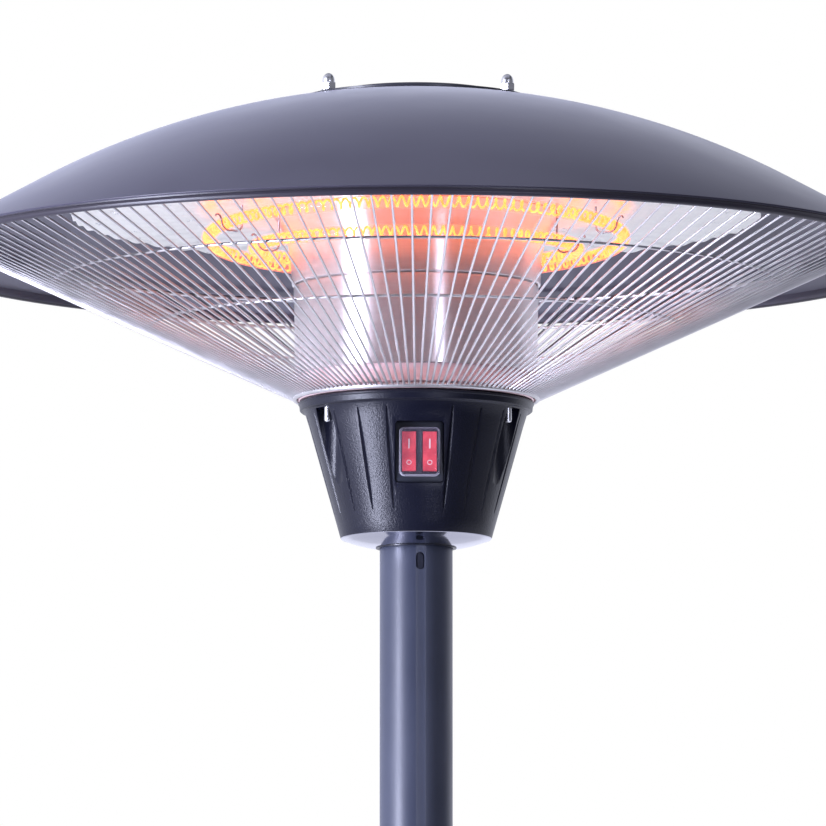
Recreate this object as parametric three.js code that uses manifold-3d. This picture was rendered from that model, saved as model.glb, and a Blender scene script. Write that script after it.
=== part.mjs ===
// Free-standing infrared patio heater: a parasol head with two glowing ring lamps behind a wire grille,
// on a telescopic pole that stands in a round weighted base.
//
// Millimetres, +Z up. The origin is on the floor, on the pole's axis. The switch side faces -Y.
// Azimuths are in degrees from the front (-Y), positive towards +X. In the head, heights are measured
// from the plane of the shade's rim, and RIM_HEIGHT lifts the whole head to its place.

import * as THREE from "three";
import { mergeVertices } from "three/addons/utils/BufferGeometryUtils.js";
import Module from "manifold-3d";

const wasm = await Module();
wasm.setup();

// ---------------------------------------------------------------- driving dimensions

const SEAT_GAP = 0.3; // between pieces that rest on each other
const RIM_HEIGHT = 1989; // rim plane above the floor, mast fully out

// Shade: a flat crown under the cap, a dome, a straight skirt and a rolled hem.
const SHADE_RADIUS = 300;
const SHADE_SHEET = 1.2;
const CROWN_RADIUS = 68;
const DOME_CURVE = 1.6 * SHADE_RADIUS; // radius of the dome's arc
const SKIRT_ANGLE = 28.6; // slope of the skirt, degrees
const HEM_HEIGHT = 5;
const HEM_WIDTH = 2;
const SHADE_HOLE_RADIUS = 30;
const DOME_STEPS = 4;
const SHADE_SIDES = 40;

// Top cap with a raised middle.
const CAP_RADIUS = 70;
const CAP_SHEET = 1;
const CAP_STEP_RADIUS = 53;
const CAP_STEP_RISE = 4.9;
const CAP_CROWN_RISE = 0.8;

// Three tie rods clamp the head together, from the collar's pockets up to the acorn nuts.
const ROD_CIRCLE = 61.5;
const ROD_AZIMUTHS = [60, -60, 180];
const ROD_RADIUS = 2.4;
const ROD_HOLE_RADIUS = 2.9;
const ROD_TAIL = 9.6; // length that shows in the pocket
const NUT_ACROSS_FLATS = 8;
const NUT_HEX_HEIGHT = 4.5;
const NUT_HEIGHT = 10.2;
const WASHER_RADIUS = 5;
const WASHER_THICKNESS = 1;
const SLEEVE_RADIUS = 5;

// Reflector: a flat hub with a pleated polished brim.
const REFLECTOR_RADIUS = 206;
const REFLECTOR_SHEET = 0.8;
const REFLECTOR_HUB_Z = 29.3;
const REFLECTOR_HUB_RADIUS = 92;
const REFLECTOR_HOLE_RADIUS = 24;
const REFLECTOR_RIM_Z = 28.2;
const PLEATS = 60;
const PLEAT_DEPTH = 1.4;

// Polished drum round the rods: a flared upper part, a straight lower part and a pan under them.
const DRUM_SHEET = 1;
const DRUM_SEAM_Z = -13.8;
const UPPER_DRUM_RADIUS = 74.8;
const FLARE_START_Z = -3;
const FLARE_TOP_RADIUS = 86;
const LOWER_DRUM_RADIUS = 72.5;
const LOWER_DRUM_BOTTOM_Z = -68;
const PAN_BOTTOM_Z = -83;
const PAN_FLARE_RADIUS = 73.4;
const PAN_FLARE_Z = -78.4;
const PAN_SEAT_RADIUS = 70.2;
const PAN_HOLE_RADIUS = 14;
const DRUM_SIDES = 28;

// Grille: straight wires from a ring round the drum's pan up to a ring inside the shade.
const GRILLE_BARS = 140;
const BAR_WIDTH = 1.5;
const GRILLE_FOOT_RADIUS = 73.2;
const GRILLE_FOOT_Z = -81.6;
const GRILLE_TOP_RADIUS = SHADE_RADIUS - 24.5;
const GRILLE_TOP_Z = 12;
const GRILLE_RING_WIDTH = 2.4;
const HOOP_WIRE_RADIUS = 0.9;
const HOOP_SIDES = 40;
const LOWER_HOOP_RADIUS = 160.5;
const UPPER_HOOP_RADIUS = 217.7;

// Ring lamps: an open coil in a quartz tube, each a little out of level.
const TUBE_RADIUS = 4.3;
const TUBE_BORE_RADIUS = 3.75;
const TUBE_SIDES = 7;
const COIL_RADIUS = 2.15; // middle of the coil's wire
const COIL_WIRE_RADIUS = 0.55;
const COIL_STEPS = 6; // per turn
const COIL_WIRE_SIDES = 3;
const LAMP_GAP_ANGLE = 7; // from the back of the ring to each end of the tube, degrees
const OUTER_LAMP = { radius: 124, z: 15.2, lean: 2.45, turns: 52, sides: 32, clips: 65 };
const INNER_LAMP = { radius: 96.5, z: 9, lean: -1.5, turns: 40, sides: 28, clips: 69.5 };
const HOLDER_HEIGHT = 12;
const HOLDER_DEPTH = 13;
const CLIP_WIRE_RADIUS = 0.6;
const CLIP_LEG = 8.2; // from the tube's middle to the leg

// Collar: a tapered moulded housing with grooves, three rod pockets and the switch recess.
const COLLAR_TOP_Z = -83.3;
const COLLAR_LIP_RADIUS = 70.3;
const COLLAR_LIP_HEIGHT = 6.3;
const COLLAR_TOP_RADIUS = 66.3;
const COLLAR_BOTTOM_RADIUS = 45;
const COLLAR_BOTTOM_Z = -165.4;
const COLLAR_BELLY_Z = -171;
const COLLAR_CAVITY_RADIUS = 50;
const COLLAR_WALL = 9;
const COLLAR_FLOOR_Z = -166.4;
const COLLAR_SIDES = 32;
const GROOVE_OFFSETS = [9.6, 26, 42.5]; // each side of a rod's azimuth, degrees
const GROOVE_TOP_Z = -92;
const GROOVE_BOTTOM_Z = -152;
const GROOVE_WIDTH = 2.6;
const GROOVE_DEPTH = 1.3;
const POCKET_RADIUS = 8.2; // round the rod's axis

// Switch: two rockers side by side under a clear splash cover.
const SWITCH_Z = -119.2;
const SWITCH_Y = -52.6;
const SWITCH_LEAN = 7;
const SWITCH_WIDTH = 28.3;
const SWITCH_HEIGHT = 36;
const SWITCH_PLATE = 3;
const SWITCH_BODY_WIDTH = 25.4;
const SWITCH_BODY_HEIGHT = 29;
const SWITCH_BODY_DEPTH = 14;
const WINDOW_HEIGHT = 25;
const WINDOW_DEPTH = 8;
const ROCKER_WIDTH = 8.1;
const ROCKER_SPACING = 12.3;
const ROCKER_HEIGHT = 23.3;
const ROCKER_ANGLE = 8; // each way from level
const ROCKER_CLEARANCE = 0.4; // to each side of its window
const COVER_WIDTH = 24;
const COVER_HEIGHT = 29;
const COVER_DEPTH = 6;
const COVER_WALL = 0.8;
const COVER_CORNER = 3;

// Telescopic pole.
const MAST_RADIUS = 21.7;
const MAST_WALL = 1.5;
const MAST_FOOT_HEIGHT = 932.6; // above the floor
const MAST_SLOT_Z = -180.7;
const MAST_SLOT_WIDTH = 6;
const MAST_SLOT_HEIGHT = 11;
const MAST_SLOT_AZIMUTH = 4.5;
const SPIGOT_FIT = 0.35; // radial clearance in the mast
const SPIGOT_WALL = 2;
const SPIGOT_LENGTH = 95;
const SPIGOT_FLANGE_RADIUS = 34;
const SPIGOT_FLANGE_THICKNESS = 4;
const COLUMN_RADIUS = 25.4;
const COLUMN_WALL = 1.6;
const COLUMN_TOP = 1180;
const BUSH_FIT = 0.3;
const BUSH_LENGTH = 60;
const BUSH_FLANGE = 3;
const PLUG_LENGTH = 24;
const PLUG_FLANGE = 12;
const POLE_SIDES = 24;
const INSERT_SIDES = 16; // plugs and spigots inside the tubes

// Clamp and its knob.
const CLAMP_RADIUS = 32;
const CLAMP_SKIRT = 32;
const CLAMP_HEAD = 40;
const CLAMP_CHAMFER = 3;
const KNOB_HEIGHT = COLUMN_TOP + 22;
const BOSS_RADIUS = 11;
const BOSS_REACH = 42;
const STUD_RADIUS = 4;
const KNOB_RADIUS = 21;
const KNOB_THICKNESS = 16;
const KNOB_LOBES = 6;

// Base.
const BASE_RADIUS = 250;
const BASE_EDGE_Z = 6;
const BASE_EDGE_HEIGHT = 12;
const BASE_SHEET = 1.5;
const BASE_SIDES = 32;
const BASE_COLLAR_Z = 74;
const BASE_COLLAR_RADIUS = 33;
const WEIGHT_RADIUS = BASE_RADIUS - 14;
const WEIGHT_THICKNESS = 14;
const WEIGHT_HOLE_RADIUS = 14;
const FOOT_HEIGHT = 8;
const FOOT_RADIUS = 18;
const FOOT_CIRCLE = 0.82 * BASE_RADIUS;
const SOCKET_FLANGE_RADIUS = 62;
const SOCKET_FLANGE_THICKNESS = 6;
const SOCKET_HEIGHT = 110;
const SOCKET_WALL = 2.5;
const BOLT_CIRCLE = 47;
const BOLT_RADIUS = 4;
const BOLT_HOLE_RADIUS = 4.5;
const BOLT_HEAD_ACROSS = 13;
const BOLT_HEAD_HEIGHT = 5.5;
const GLAND_HEIGHT = 120;
const GLAND_RADIUS = 9;
const GLAND_LENGTH = 20;
const GLAND_BORE_RADIUS = 3.6;

// Electrical pieces inside the drum.
const TERMINAL_SIZE = [46, 20, 18];
const TILT_SWITCH_SIZE = [26, 22, 30];

// ---------------------------------------------------------------- materials

const finish = (color, roughness, metalness, extra = {}) =>
  new THREE.MeshStandardMaterial({ color, roughness, metalness, ...extra });

const MATERIALS = {
  shade: finish(0x4b4b52, 0.6, 0.2),
  cap: finish(0x2c2c33, 0.5, 0.2),
  chrome: finish(0xd8dade, 0.15, 1),
  zinc: finish(0xa9abb0, 0.4, 0.9),
  polished: finish(0xe3e3e6, 0.12, 1),
  wire: finish(0xc9ccd4, 0.3, 1),
  quartz: finish(0xf4f1ea, 0.05, 0, { transparent: true, opacity: 0.35 }),
  glow: finish(0xffb020, 0.5, 0, { emissive: 0xff8a10 }),
  ceramic: finish(0xe9e4d8, 0.7, 0),
  plastic: finish(0x15161c, 0.35, 0),
  rocker: finish(0xc8202a, 0.25, 0),
  clear: finish(0xe8e6ee, 0.1, 0, { transparent: true, opacity: 0.35 }),
  pole: finish(0x39424e, 0.45, 0.3),
  iron: finish(0x3a3a3c, 0.8, 0.6),
  rubber: finish(0x1a1a1a, 0.9, 0),
};

// ---------------------------------------------------------------- geometry helpers

const rad = THREE.MathUtils.degToRad;

// A closed geometry as a solid. Its faces are turned round where its outline ran the other way.
function toSolid(geometry) {
  const bare = geometry.clone();
  bare.deleteAttribute("normal");
  bare.deleteAttribute("uv");
  const merged = mergeVertices(bare, 1e-4);
  const corners = merged.index.array;
  const kept = [];
  for (let i = 0; i < corners.length; i += 3) {
    const [a, b, c] = [corners[i], corners[i + 1], corners[i + 2]];
    if (a !== b && b !== c && c !== a) kept.push([a, b, c]);
  }
  const build = (triangles) =>
    new wasm.Manifold(
      new wasm.Mesh({
        numProp: 3,
        vertProperties: new Float32Array(merged.attributes.position.array),
        triVerts: new Uint32Array(triangles.flat()),
      }),
    );
  const solid = build(kept);
  return solid.volume() < 0 ? build(kept.map(([a, b, c]) => [a, c, b])) : solid;
}

function toGeometry(solid) {
  const { vertProperties, triVerts } = solid.getMesh();
  const geometry = new THREE.BufferGeometry();
  geometry.setAttribute("position", new THREE.BufferAttribute(new Float32Array(vertProperties), 3));
  geometry.setIndex(new THREE.BufferAttribute(new Uint32Array(triVerts), 1));
  geometry.computeVertexNormals();
  return geometry;
}

const closed = (geometry) => toGeometry(toSolid(geometry));
const join = (first, ...rest) =>
  toGeometry(rest.reduce((solid, piece) => solid.add(toSolid(piece)), toSolid(first)));
const cut = (body, ...tools) =>
  toGeometry(tools.reduce((solid, tool) => solid.subtract(toSolid(tool)), toSolid(body)));

// A solid of revolution about Z from [radius, height] pairs. An outline off the axis is closed on itself.
function turned(outline, sides) {
  const loop = outline[0][0] > 0 ? [...outline, outline[0]] : outline;
  const points = loop.map(([radius, height]) => new THREE.Vector2(radius, height));
  return closed(new THREE.LatheGeometry(points, sides).rotateX(Math.PI / 2));
}

const ring = (inner, outer, low, high, sides) =>
  turned([[inner, low], [outer, low], [outer, high], [inner, high]], sides);
const rod = (radius, low, high, sides) =>
  turned([[0, low], [radius, low], [radius, high], [0, high]], sides);

// A flat outline of [x, z] pairs, facing -Y, with its depth along Y from `front` to `back`.
function plate(outline, front, back) {
  const shape = new THREE.Shape(outline.map(([x, z]) => new THREE.Vector2(x, z)));
  const geometry = new THREE.ExtrudeGeometry(shape, { depth: back - front, bevelEnabled: false });
  return closed(geometry.rotateX(Math.PI / 2).translate(0, back, 0));
}

const block = (width, depth, height) => closed(new THREE.BoxGeometry(width, depth, height));

// A rectangle of [x, z] pairs with round corners.
function roundedRectangle(width, height, radius, steps = 3) {
  const corners = [[1, 1, 0], [-1, 1, 90], [-1, -1, 180], [1, -1, 270]];
  return corners.flatMap(([sx, sz, start]) =>
    Array.from({ length: steps + 1 }, (_, i) => {
      const angle = rad(start + (90 * i) / steps);
      const x = sx * (width / 2 - radius) + radius * Math.cos(angle);
      const z = sz * (height / 2 - radius) + radius * Math.sin(angle);
      return [x, z];
    }),
  );
}

// The point at a radius, azimuth (degrees from the front) and height.
const polar = (radius, azimuth, height = 0) =>
  new THREE.Vector3(radius * Math.sin(rad(azimuth)), -radius * Math.cos(rad(azimuth)), height);

// A geometry made at the front (-Y side), carried round to an azimuth.
const carried = (geometry, azimuth) => geometry.clone().rotateZ(rad(azimuth));

// A clearance hole for each tie rod, between two heights.
const rodHoles = (low, high) =>
  ROD_AZIMUTHS.map((azimuth) => {
    const at = polar(ROD_CIRCLE, azimuth);
    return rod(ROD_HOLE_RADIUS, low, high, 8).translate(at.x, at.y, 0);
  });

function addPart(parent, name, geometry, material) {
  const mesh = new THREE.Mesh(geometry, material);
  mesh.name = name;
  parent.add(mesh);
  return mesh;
}

// ---------------------------------------------------------------- places worked out from the sizes

const SHOULDER_RADIUS = DOME_CURVE * Math.sin(rad(SKIRT_ANGLE));
const SKIRT_SLOPE = Math.tan(rad(SKIRT_ANGLE));
const SKIRT_RISE = (SHADE_RADIUS - SHOULDER_RADIUS) * SKIRT_SLOPE;
const arcHeight = (radius) => Math.sqrt(DOME_CURVE ** 2 - radius ** 2);
const CROWN_Z = HEM_HEIGHT + SKIRT_RISE + arcHeight(CROWN_RADIUS) - arcHeight(SHOULDER_RADIUS);
const CAP_STEP_Z = CROWN_Z + CAP_STEP_RISE;

// Height of the shade's outer face at a radius.
function shadeHeight(radius) {
  const onDome = Math.max(CROWN_RADIUS, Math.min(radius, SHOULDER_RADIUS));
  const arcDrop = arcHeight(CROWN_RADIUS) - arcHeight(onDome);
  return CROWN_Z - arcDrop - Math.max(0, radius - SHOULDER_RADIUS) * SKIRT_SLOPE;
}

// Height of its inner face.
function shadeUnderside(radius) {
  if (radius <= CROWN_RADIUS) return CROWN_Z - SHADE_SHEET;
  const slope = Math.asin(Math.min(radius, SHOULDER_RADIUS) / DOME_CURVE);
  return shadeHeight(radius) - SHADE_SHEET / Math.cos(slope);
}

// The cap's flange lies on the shade's crown.
const CAP_FLANGE_Z = CROWN_Z + SEAT_GAP;
const WASHER_Z = CAP_FLANGE_Z + CAP_SHEET + SEAT_GAP;
const NUT_Z = WASHER_Z + WASHER_THICKNESS + SEAT_GAP;
const POCKET_ROOF_Z = COLLAR_TOP_Z - COLLAR_LIP_HEIGHT;
const MAST_TOP_Z = COLLAR_FLOOR_Z;
const MAST_BOTTOM_Z = MAST_FOOT_HEIGHT - RIM_HEIGHT;

// Outer radius of the collar's tapered wall at a height.
function collarRadius(z) {
  const share = (z - POCKET_ROOF_Z) / (COLLAR_BOTTOM_Z - POCKET_ROOF_Z);
  return COLLAR_TOP_RADIUS + (COLLAR_BOTTOM_RADIUS - COLLAR_TOP_RADIUS) * share;
}

// Height of the grille's wires at a radius, and the wires' slope.
const GRILLE_SLOPE = (GRILLE_TOP_Z - GRILLE_FOOT_Z) / (GRILLE_TOP_RADIUS - GRILLE_FOOT_RADIUS);
const grilleHeight = (radius) => GRILLE_FOOT_Z + (radius - GRILLE_FOOT_RADIUS) * GRILLE_SLOPE;

// Height of a leaning lamp's middle at an azimuth. A positive lean lifts the front.
function lampHeight(lamp, azimuth) {
  return lamp.z + lamp.radius * Math.cos(rad(azimuth)) * Math.sin(rad(lamp.lean));
}

// Height of the reflector's lowest underside at a radius.
function reflectorUnderside(radius) {
  const share = (radius - REFLECTOR_HUB_RADIUS) / (REFLECTOR_RADIUS - REFLECTOR_HUB_RADIUS);
  const out = Math.max(0, share);
  return REFLECTOR_HUB_Z + (REFLECTOR_RIM_Z - REFLECTOR_HUB_Z) * out - (PLEAT_DEPTH / 2) * out;
}

// ---------------------------------------------------------------- shade, cap and tie rods

function shadeDome() {
  const start = Math.asin(CROWN_RADIUS / DOME_CURVE);
  const dome = Array.from({ length: DOME_STEPS + 1 }, (_, i) => {
    const angle = start + ((rad(SKIRT_ANGLE) - start) * i) / DOME_STEPS;
    return DOME_CURVE * Math.sin(angle);
  });
  const skirtEnd = SHOULDER_RADIUS + (shadeHeight(SHOULDER_RADIUS) - HEM_HEIGHT) / SKIRT_SLOPE;
  const hemInner = SHADE_RADIUS - HEM_WIDTH;
  const outline = [
    [SHADE_HOLE_RADIUS, CROWN_Z],
    ...dome.map((radius) => [radius, shadeHeight(radius)]),
    [skirtEnd, HEM_HEIGHT],
    [SHADE_RADIUS, HEM_HEIGHT],
    [SHADE_RADIUS, 0],
    [hemInner, 0],
    [hemInner, HEM_HEIGHT - SHADE_SHEET],
    [skirtEnd - SHADE_SHEET, shadeUnderside(skirtEnd - SHADE_SHEET)],
    ...dome.reverse().map((radius) => [radius, shadeUnderside(radius)]),
    [SHADE_HOLE_RADIUS, CROWN_Z - SHADE_SHEET],
  ];
  return cut(turned(outline, SHADE_SIDES), ...rodHoles(CROWN_Z - 5, CROWN_Z + 5));
}

function topCap() {
  const stepFoot = CAP_STEP_RADIUS + 2;
  const outline = [
    [0, CAP_STEP_Z + CAP_CROWN_RISE - CAP_SHEET],
    [CAP_STEP_RADIUS - CAP_SHEET, CAP_STEP_Z - CAP_SHEET],
    [stepFoot - CAP_SHEET, CAP_FLANGE_Z],
    [CAP_RADIUS, CAP_FLANGE_Z],
    [CAP_RADIUS, CAP_FLANGE_Z + CAP_SHEET],
    [stepFoot, CAP_FLANGE_Z + CAP_SHEET],
    [CAP_STEP_RADIUS, CAP_STEP_Z],
    [0, CAP_STEP_Z + CAP_CROWN_RISE],
  ];
  return cut(turned(outline, DRUM_SIDES), ...rodHoles(0, CROWN_Z + 10));
}

// A hexagonal nut with a round dome and a blind hole for the rod.
function acornNut() {
  const hexRadius = NUT_ACROSS_FLATS / 2 / Math.cos(Math.PI / 6);
  const domeRadius = NUT_ACROSS_FLATS / 2;
  const domeRise = NUT_HEIGHT - NUT_HEX_HEIGHT;
  const dome = Array.from({ length: 4 }, (_, i) => {
    const angle = rad(30 * i);
    return [domeRadius * Math.cos(angle) * 0.98, NUT_HEX_HEIGHT - 0.5 + (domeRise + 0.5) * Math.sin(angle)];
  });
  dome[dome.length - 1][0] = 0;
  const cap = turned([[0, NUT_HEX_HEIGHT - 0.5], ...dome], 10);
  const hex = rod(hexRadius, 0, NUT_HEX_HEIGHT, 6);
  return cut(join(hex, cap), rod(ROD_HOLE_RADIUS, -1, NUT_HEX_HEIGHT + 1, 8));
}

function tieRod() {
  const tail = POCKET_ROOF_Z - ROD_TAIL;
  const top = NUT_Z + NUT_HEX_HEIGHT;
  const stem = [
    [0, tail],
    [ROD_RADIUS * 0.6, tail],
    [ROD_RADIUS, tail + 1.2],
    [ROD_RADIUS, top],
    [0, top],
  ];
  return turned(stem, 8);
}

// ---------------------------------------------------------------- reflector and drum

// A sheet whose outer brim rises and falls once in each pleat.
function reflector() {
  const positions = [];
  const faces = [];
  const vertex = (radius, azimuth, z) => {
    const at = polar(radius, azimuth, z);
    positions.push(at.x, at.y, at.z);
    return positions.length / 3 - 1;
  };
  const quad = (a, b, c, d) => faces.push(a, b, c, a, c, d);
  const step = 360 / PLEATS;
  const column = (azimuth) => {
    const hubTop = REFLECTOR_HUB_Z + REFLECTOR_SHEET;
    const low = REFLECTOR_RIM_Z - PLEAT_DEPTH / 2;
    const high = REFLECTOR_RIM_Z + PLEAT_DEPTH / 2;
    return {
      holeLow: vertex(REFLECTOR_HOLE_RADIUS, azimuth, REFLECTOR_HUB_Z),
      holeHigh: vertex(REFLECTOR_HOLE_RADIUS, azimuth, hubTop),
      hubLow: vertex(REFLECTOR_HUB_RADIUS, azimuth, REFLECTOR_HUB_Z),
      hubHigh: vertex(REFLECTOR_HUB_RADIUS, azimuth, hubTop),
      ridgeLow: vertex(REFLECTOR_RADIUS, azimuth, high),
      ridgeHigh: vertex(REFLECTOR_RADIUS, azimuth, high + REFLECTOR_SHEET),
      valleyLow: vertex(REFLECTOR_RADIUS, azimuth + step / 2, low),
      valleyHigh: vertex(REFLECTOR_RADIUS, azimuth + step / 2, low + REFLECTOR_SHEET),
    };
  };
  const columns = Array.from({ length: PLEATS }, (_, i) => column(i * step));
  columns.forEach((left, i) => {
    const right = columns[(i + 1) % PLEATS];
    quad(left.holeHigh, left.hubHigh, right.hubHigh, right.holeHigh);
    quad(left.holeLow, right.holeLow, right.hubLow, left.hubLow);
    quad(left.holeHigh, right.holeHigh, right.holeLow, left.holeLow);
    faces.push(left.hubHigh, left.ridgeHigh, left.valleyHigh);
    faces.push(left.hubHigh, left.valleyHigh, right.hubHigh);
    faces.push(right.hubHigh, left.valleyHigh, right.ridgeHigh);
    faces.push(left.hubLow, left.valleyLow, left.ridgeLow);
    faces.push(left.hubLow, right.hubLow, left.valleyLow);
    faces.push(right.hubLow, right.ridgeLow, left.valleyLow);
    quad(left.ridgeLow, left.valleyLow, left.valleyHigh, left.ridgeHigh);
    quad(left.valleyLow, right.ridgeLow, right.ridgeHigh, left.valleyHigh);
  });
  const sheet = new THREE.BufferGeometry();
  sheet.setAttribute("position", new THREE.Float32BufferAttribute(positions, 3));
  sheet.setIndex(faces);
  return cut(sheet, ...rodHoles(0, CROWN_Z));
}

// The upper drum flares out like a trumpet to meet the reflector.
function upperDrum() {
  const top = REFLECTOR_HUB_Z - SEAT_GAP;
  const rise = top - FLARE_START_Z;
  const flare = Array.from({ length: 4 }, (_, i) => {
    const share = i / 3;
    const radius = UPPER_DRUM_RADIUS + (FLARE_TOP_RADIUS - UPPER_DRUM_RADIUS) * share ** 2.2;
    return [radius, FLARE_START_Z + rise * share];
  });
  const inner = flare.map(([radius, z]) => [radius - DRUM_SHEET, z]).reverse();
  const outline = [
    [UPPER_DRUM_RADIUS, DRUM_SEAM_Z],
    ...flare,
    ...inner,
    [UPPER_DRUM_RADIUS - DRUM_SHEET, DRUM_SEAM_Z],
  ];
  return turned(outline, DRUM_SIDES);
}

// The lower drum's neck goes up inside the upper drum.
function lowerDrum() {
  const neck = UPPER_DRUM_RADIUS - DRUM_SHEET - SEAT_GAP;
  const neckTop = DRUM_SEAM_Z + 5;
  const low = LOWER_DRUM_BOTTOM_Z;
  const shoulder = DRUM_SEAM_Z - SEAT_GAP;
  return turned(
    [
      [LOWER_DRUM_RADIUS, low],
      [LOWER_DRUM_RADIUS, shoulder],
      [neck, shoulder],
      [neck, neckTop],
      [neck - DRUM_SHEET, neckTop],
      [LOWER_DRUM_RADIUS - DRUM_SHEET, low],
    ],
    DRUM_SIDES,
  );
}

// The pan carries the drum, closes the collar and flares out just above the grille's strip.
function drumPan() {
  const rimZ = LOWER_DRUM_BOTTOM_Z - SEAT_GAP;
  const outline = [
    [PAN_HOLE_RADIUS, PAN_BOTTOM_Z],
    [PAN_SEAT_RADIUS, PAN_BOTTOM_Z],
    [PAN_SEAT_RADIUS, PAN_FLARE_Z - 0.8],
    [PAN_FLARE_RADIUS, PAN_FLARE_Z],
    [LOWER_DRUM_RADIUS, rimZ],
    [LOWER_DRUM_RADIUS - DRUM_SHEET, rimZ],
    [PAN_SEAT_RADIUS - DRUM_SHEET, PAN_BOTTOM_Z + DRUM_SHEET],
    [PAN_HOLE_RADIUS, PAN_BOTTOM_Z + DRUM_SHEET],
  ];
  return cut(turned(outline, DRUM_SIDES), ...rodHoles(PAN_BOTTOM_Z - 5, PAN_BOTTOM_Z + 5));
}

// ---------------------------------------------------------------- grille

// One welded piece: a ring round the pan, the straight wires and the ring at their top. Each wire has a
// flat underside and a ridge. It leaves the lower ring's outer face and ends in the upper ring's inner
// face, so both faces are open where a wire joins them.
function grilleCone() {
  const positions = [];
  const faces = [];
  const quad = (a, b, c, d) => faces.push(a, b, c, a, c, d);
  const halfRise = BAR_WIDTH / 2 / Math.cos(Math.atan(GRILLE_SLOPE));
  const step = 360 / GRILLE_BARS;
  const wire = (azimuth) => {
    const vertex = (radius, z, side = 0) => {
      const spread = THREE.MathUtils.radToDeg(BAR_WIDTH / 2 / radius);
      const at = polar(radius, azimuth + side * spread, z);
      positions.push(at.x, at.y, at.z);
      return positions.length / 3 - 1;
    };
    const wireEnd = (radius, z) => ({
      left: vertex(radius, z - halfRise, -1),
      right: vertex(radius, z - halfRise, 1),
      ridge: vertex(radius, z + halfRise),
    });
    return {
      foot: wireEnd(GRILLE_FOOT_RADIUS, GRILLE_FOOT_Z),
      footInner: vertex(GRILLE_FOOT_RADIUS - GRILLE_RING_WIDTH, GRILLE_FOOT_Z),
      head: wireEnd(GRILLE_TOP_RADIUS, GRILLE_TOP_Z),
      headOuter: vertex(GRILLE_TOP_RADIUS + GRILLE_RING_WIDTH, GRILLE_TOP_Z),
    };
  };
  const wires = Array.from({ length: GRILLE_BARS }, (_, i) => wire(i * step));
  wires.forEach((w, i) => {
    const next = wires[(i + 1) % GRILLE_BARS];
    faces.push(w.footInner, w.foot.right, w.foot.left);
    quad(w.footInner, next.footInner, next.foot.left, w.foot.right);
    quad(w.foot.right, next.foot.left, next.foot.ridge, w.foot.ridge);
    quad(w.foot.ridge, next.foot.ridge, next.footInner, w.footInner);
    faces.push(w.head.left, w.head.right, w.headOuter);
    quad(w.head.right, next.head.left, next.headOuter, w.headOuter);
    quad(w.headOuter, next.headOuter, next.head.ridge, w.head.ridge);
    quad(w.head.ridge, next.head.ridge, next.head.left, w.head.right);
    quad(w.foot.left, w.foot.right, w.head.right, w.head.left);
    quad(w.foot.right, w.foot.ridge, w.head.ridge, w.head.right);
    quad(w.foot.ridge, w.foot.left, w.head.left, w.head.ridge);
  });
  const geometry = new THREE.BufferGeometry();
  geometry.setAttribute("position", new THREE.Float32BufferAttribute(positions, 3));
  geometry.setIndex(faces);
  return closed(geometry);
}

// A hoop of wire that lies on the inner side of the grille's wires.
function grilleHoop(radius) {
  const tilt = Math.atan(GRILLE_SLOPE);
  const offset = BAR_WIDTH / 2 + SEAT_GAP + HOOP_WIRE_RADIUS;
  const hoop = new THREE.TorusGeometry(radius - offset * Math.sin(tilt), HOOP_WIRE_RADIUS, 3, HOOP_SIDES);
  return closed(hoop.translate(0, 0, grilleHeight(radius) + offset * Math.cos(tilt)));
}

// ---------------------------------------------------------------- ring lamps

// An arc of quartz tube, open at both ends, which face each other across a gap at the back.
function quartzTube(lamp) {
  const outer = new THREE.TorusGeometry(lamp.radius, TUBE_RADIUS, TUBE_SIDES, lamp.sides);
  const bore = new THREE.TorusGeometry(lamp.radius, TUBE_BORE_RADIUS, TUBE_SIDES, lamp.sides);
  const reach = lamp.radius + 4 * TUBE_RADIUS;
  const halfGap = reach * Math.tan(rad(LAMP_GAP_ANGLE));
  const wedge = new THREE.Shape([
    new THREE.Vector2(0, 0),
    new THREE.Vector2(halfGap, reach),
    new THREE.Vector2(-halfGap, reach),
  ]);
  const gap = new THREE.ExtrudeGeometry(wedge, { depth: 4 * TUBE_RADIUS, bevelEnabled: false });
  gap.translate(0, 0, -2 * TUBE_RADIUS);
  return cut(outer, bore, gap);
}

// The coil's centre line: a helix wound round the lamp's circle, with a straight run at each end.
function coilPath(lamp) {
  const ends = 180 - LAMP_GAP_ANGLE - 0.5;
  const lead = 2.5; // degrees of straight run at each end
  const count = lamp.turns * COIL_STEPS;
  const points = [polar(lamp.radius, -ends)];
  const spokes = [polar(1, -ends)];
  for (let i = 0; i <= count; i++) {
    const azimuth = -(ends - lead) + (2 * (ends - lead) * i) / count;
    const phase = (2 * Math.PI * i) / COIL_STEPS;
    const outward = polar(1, azimuth);
    const spoke = outward.clone().multiplyScalar(Math.cos(phase)).setZ(Math.sin(phase));
    spokes.push(spoke);
    points.push(polar(lamp.radius, azimuth).addScaledVector(spoke, COIL_RADIUS));
  }
  points.push(polar(lamp.radius, ends));
  spokes.push(polar(1, ends));
  return { points, spokes };
}

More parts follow.
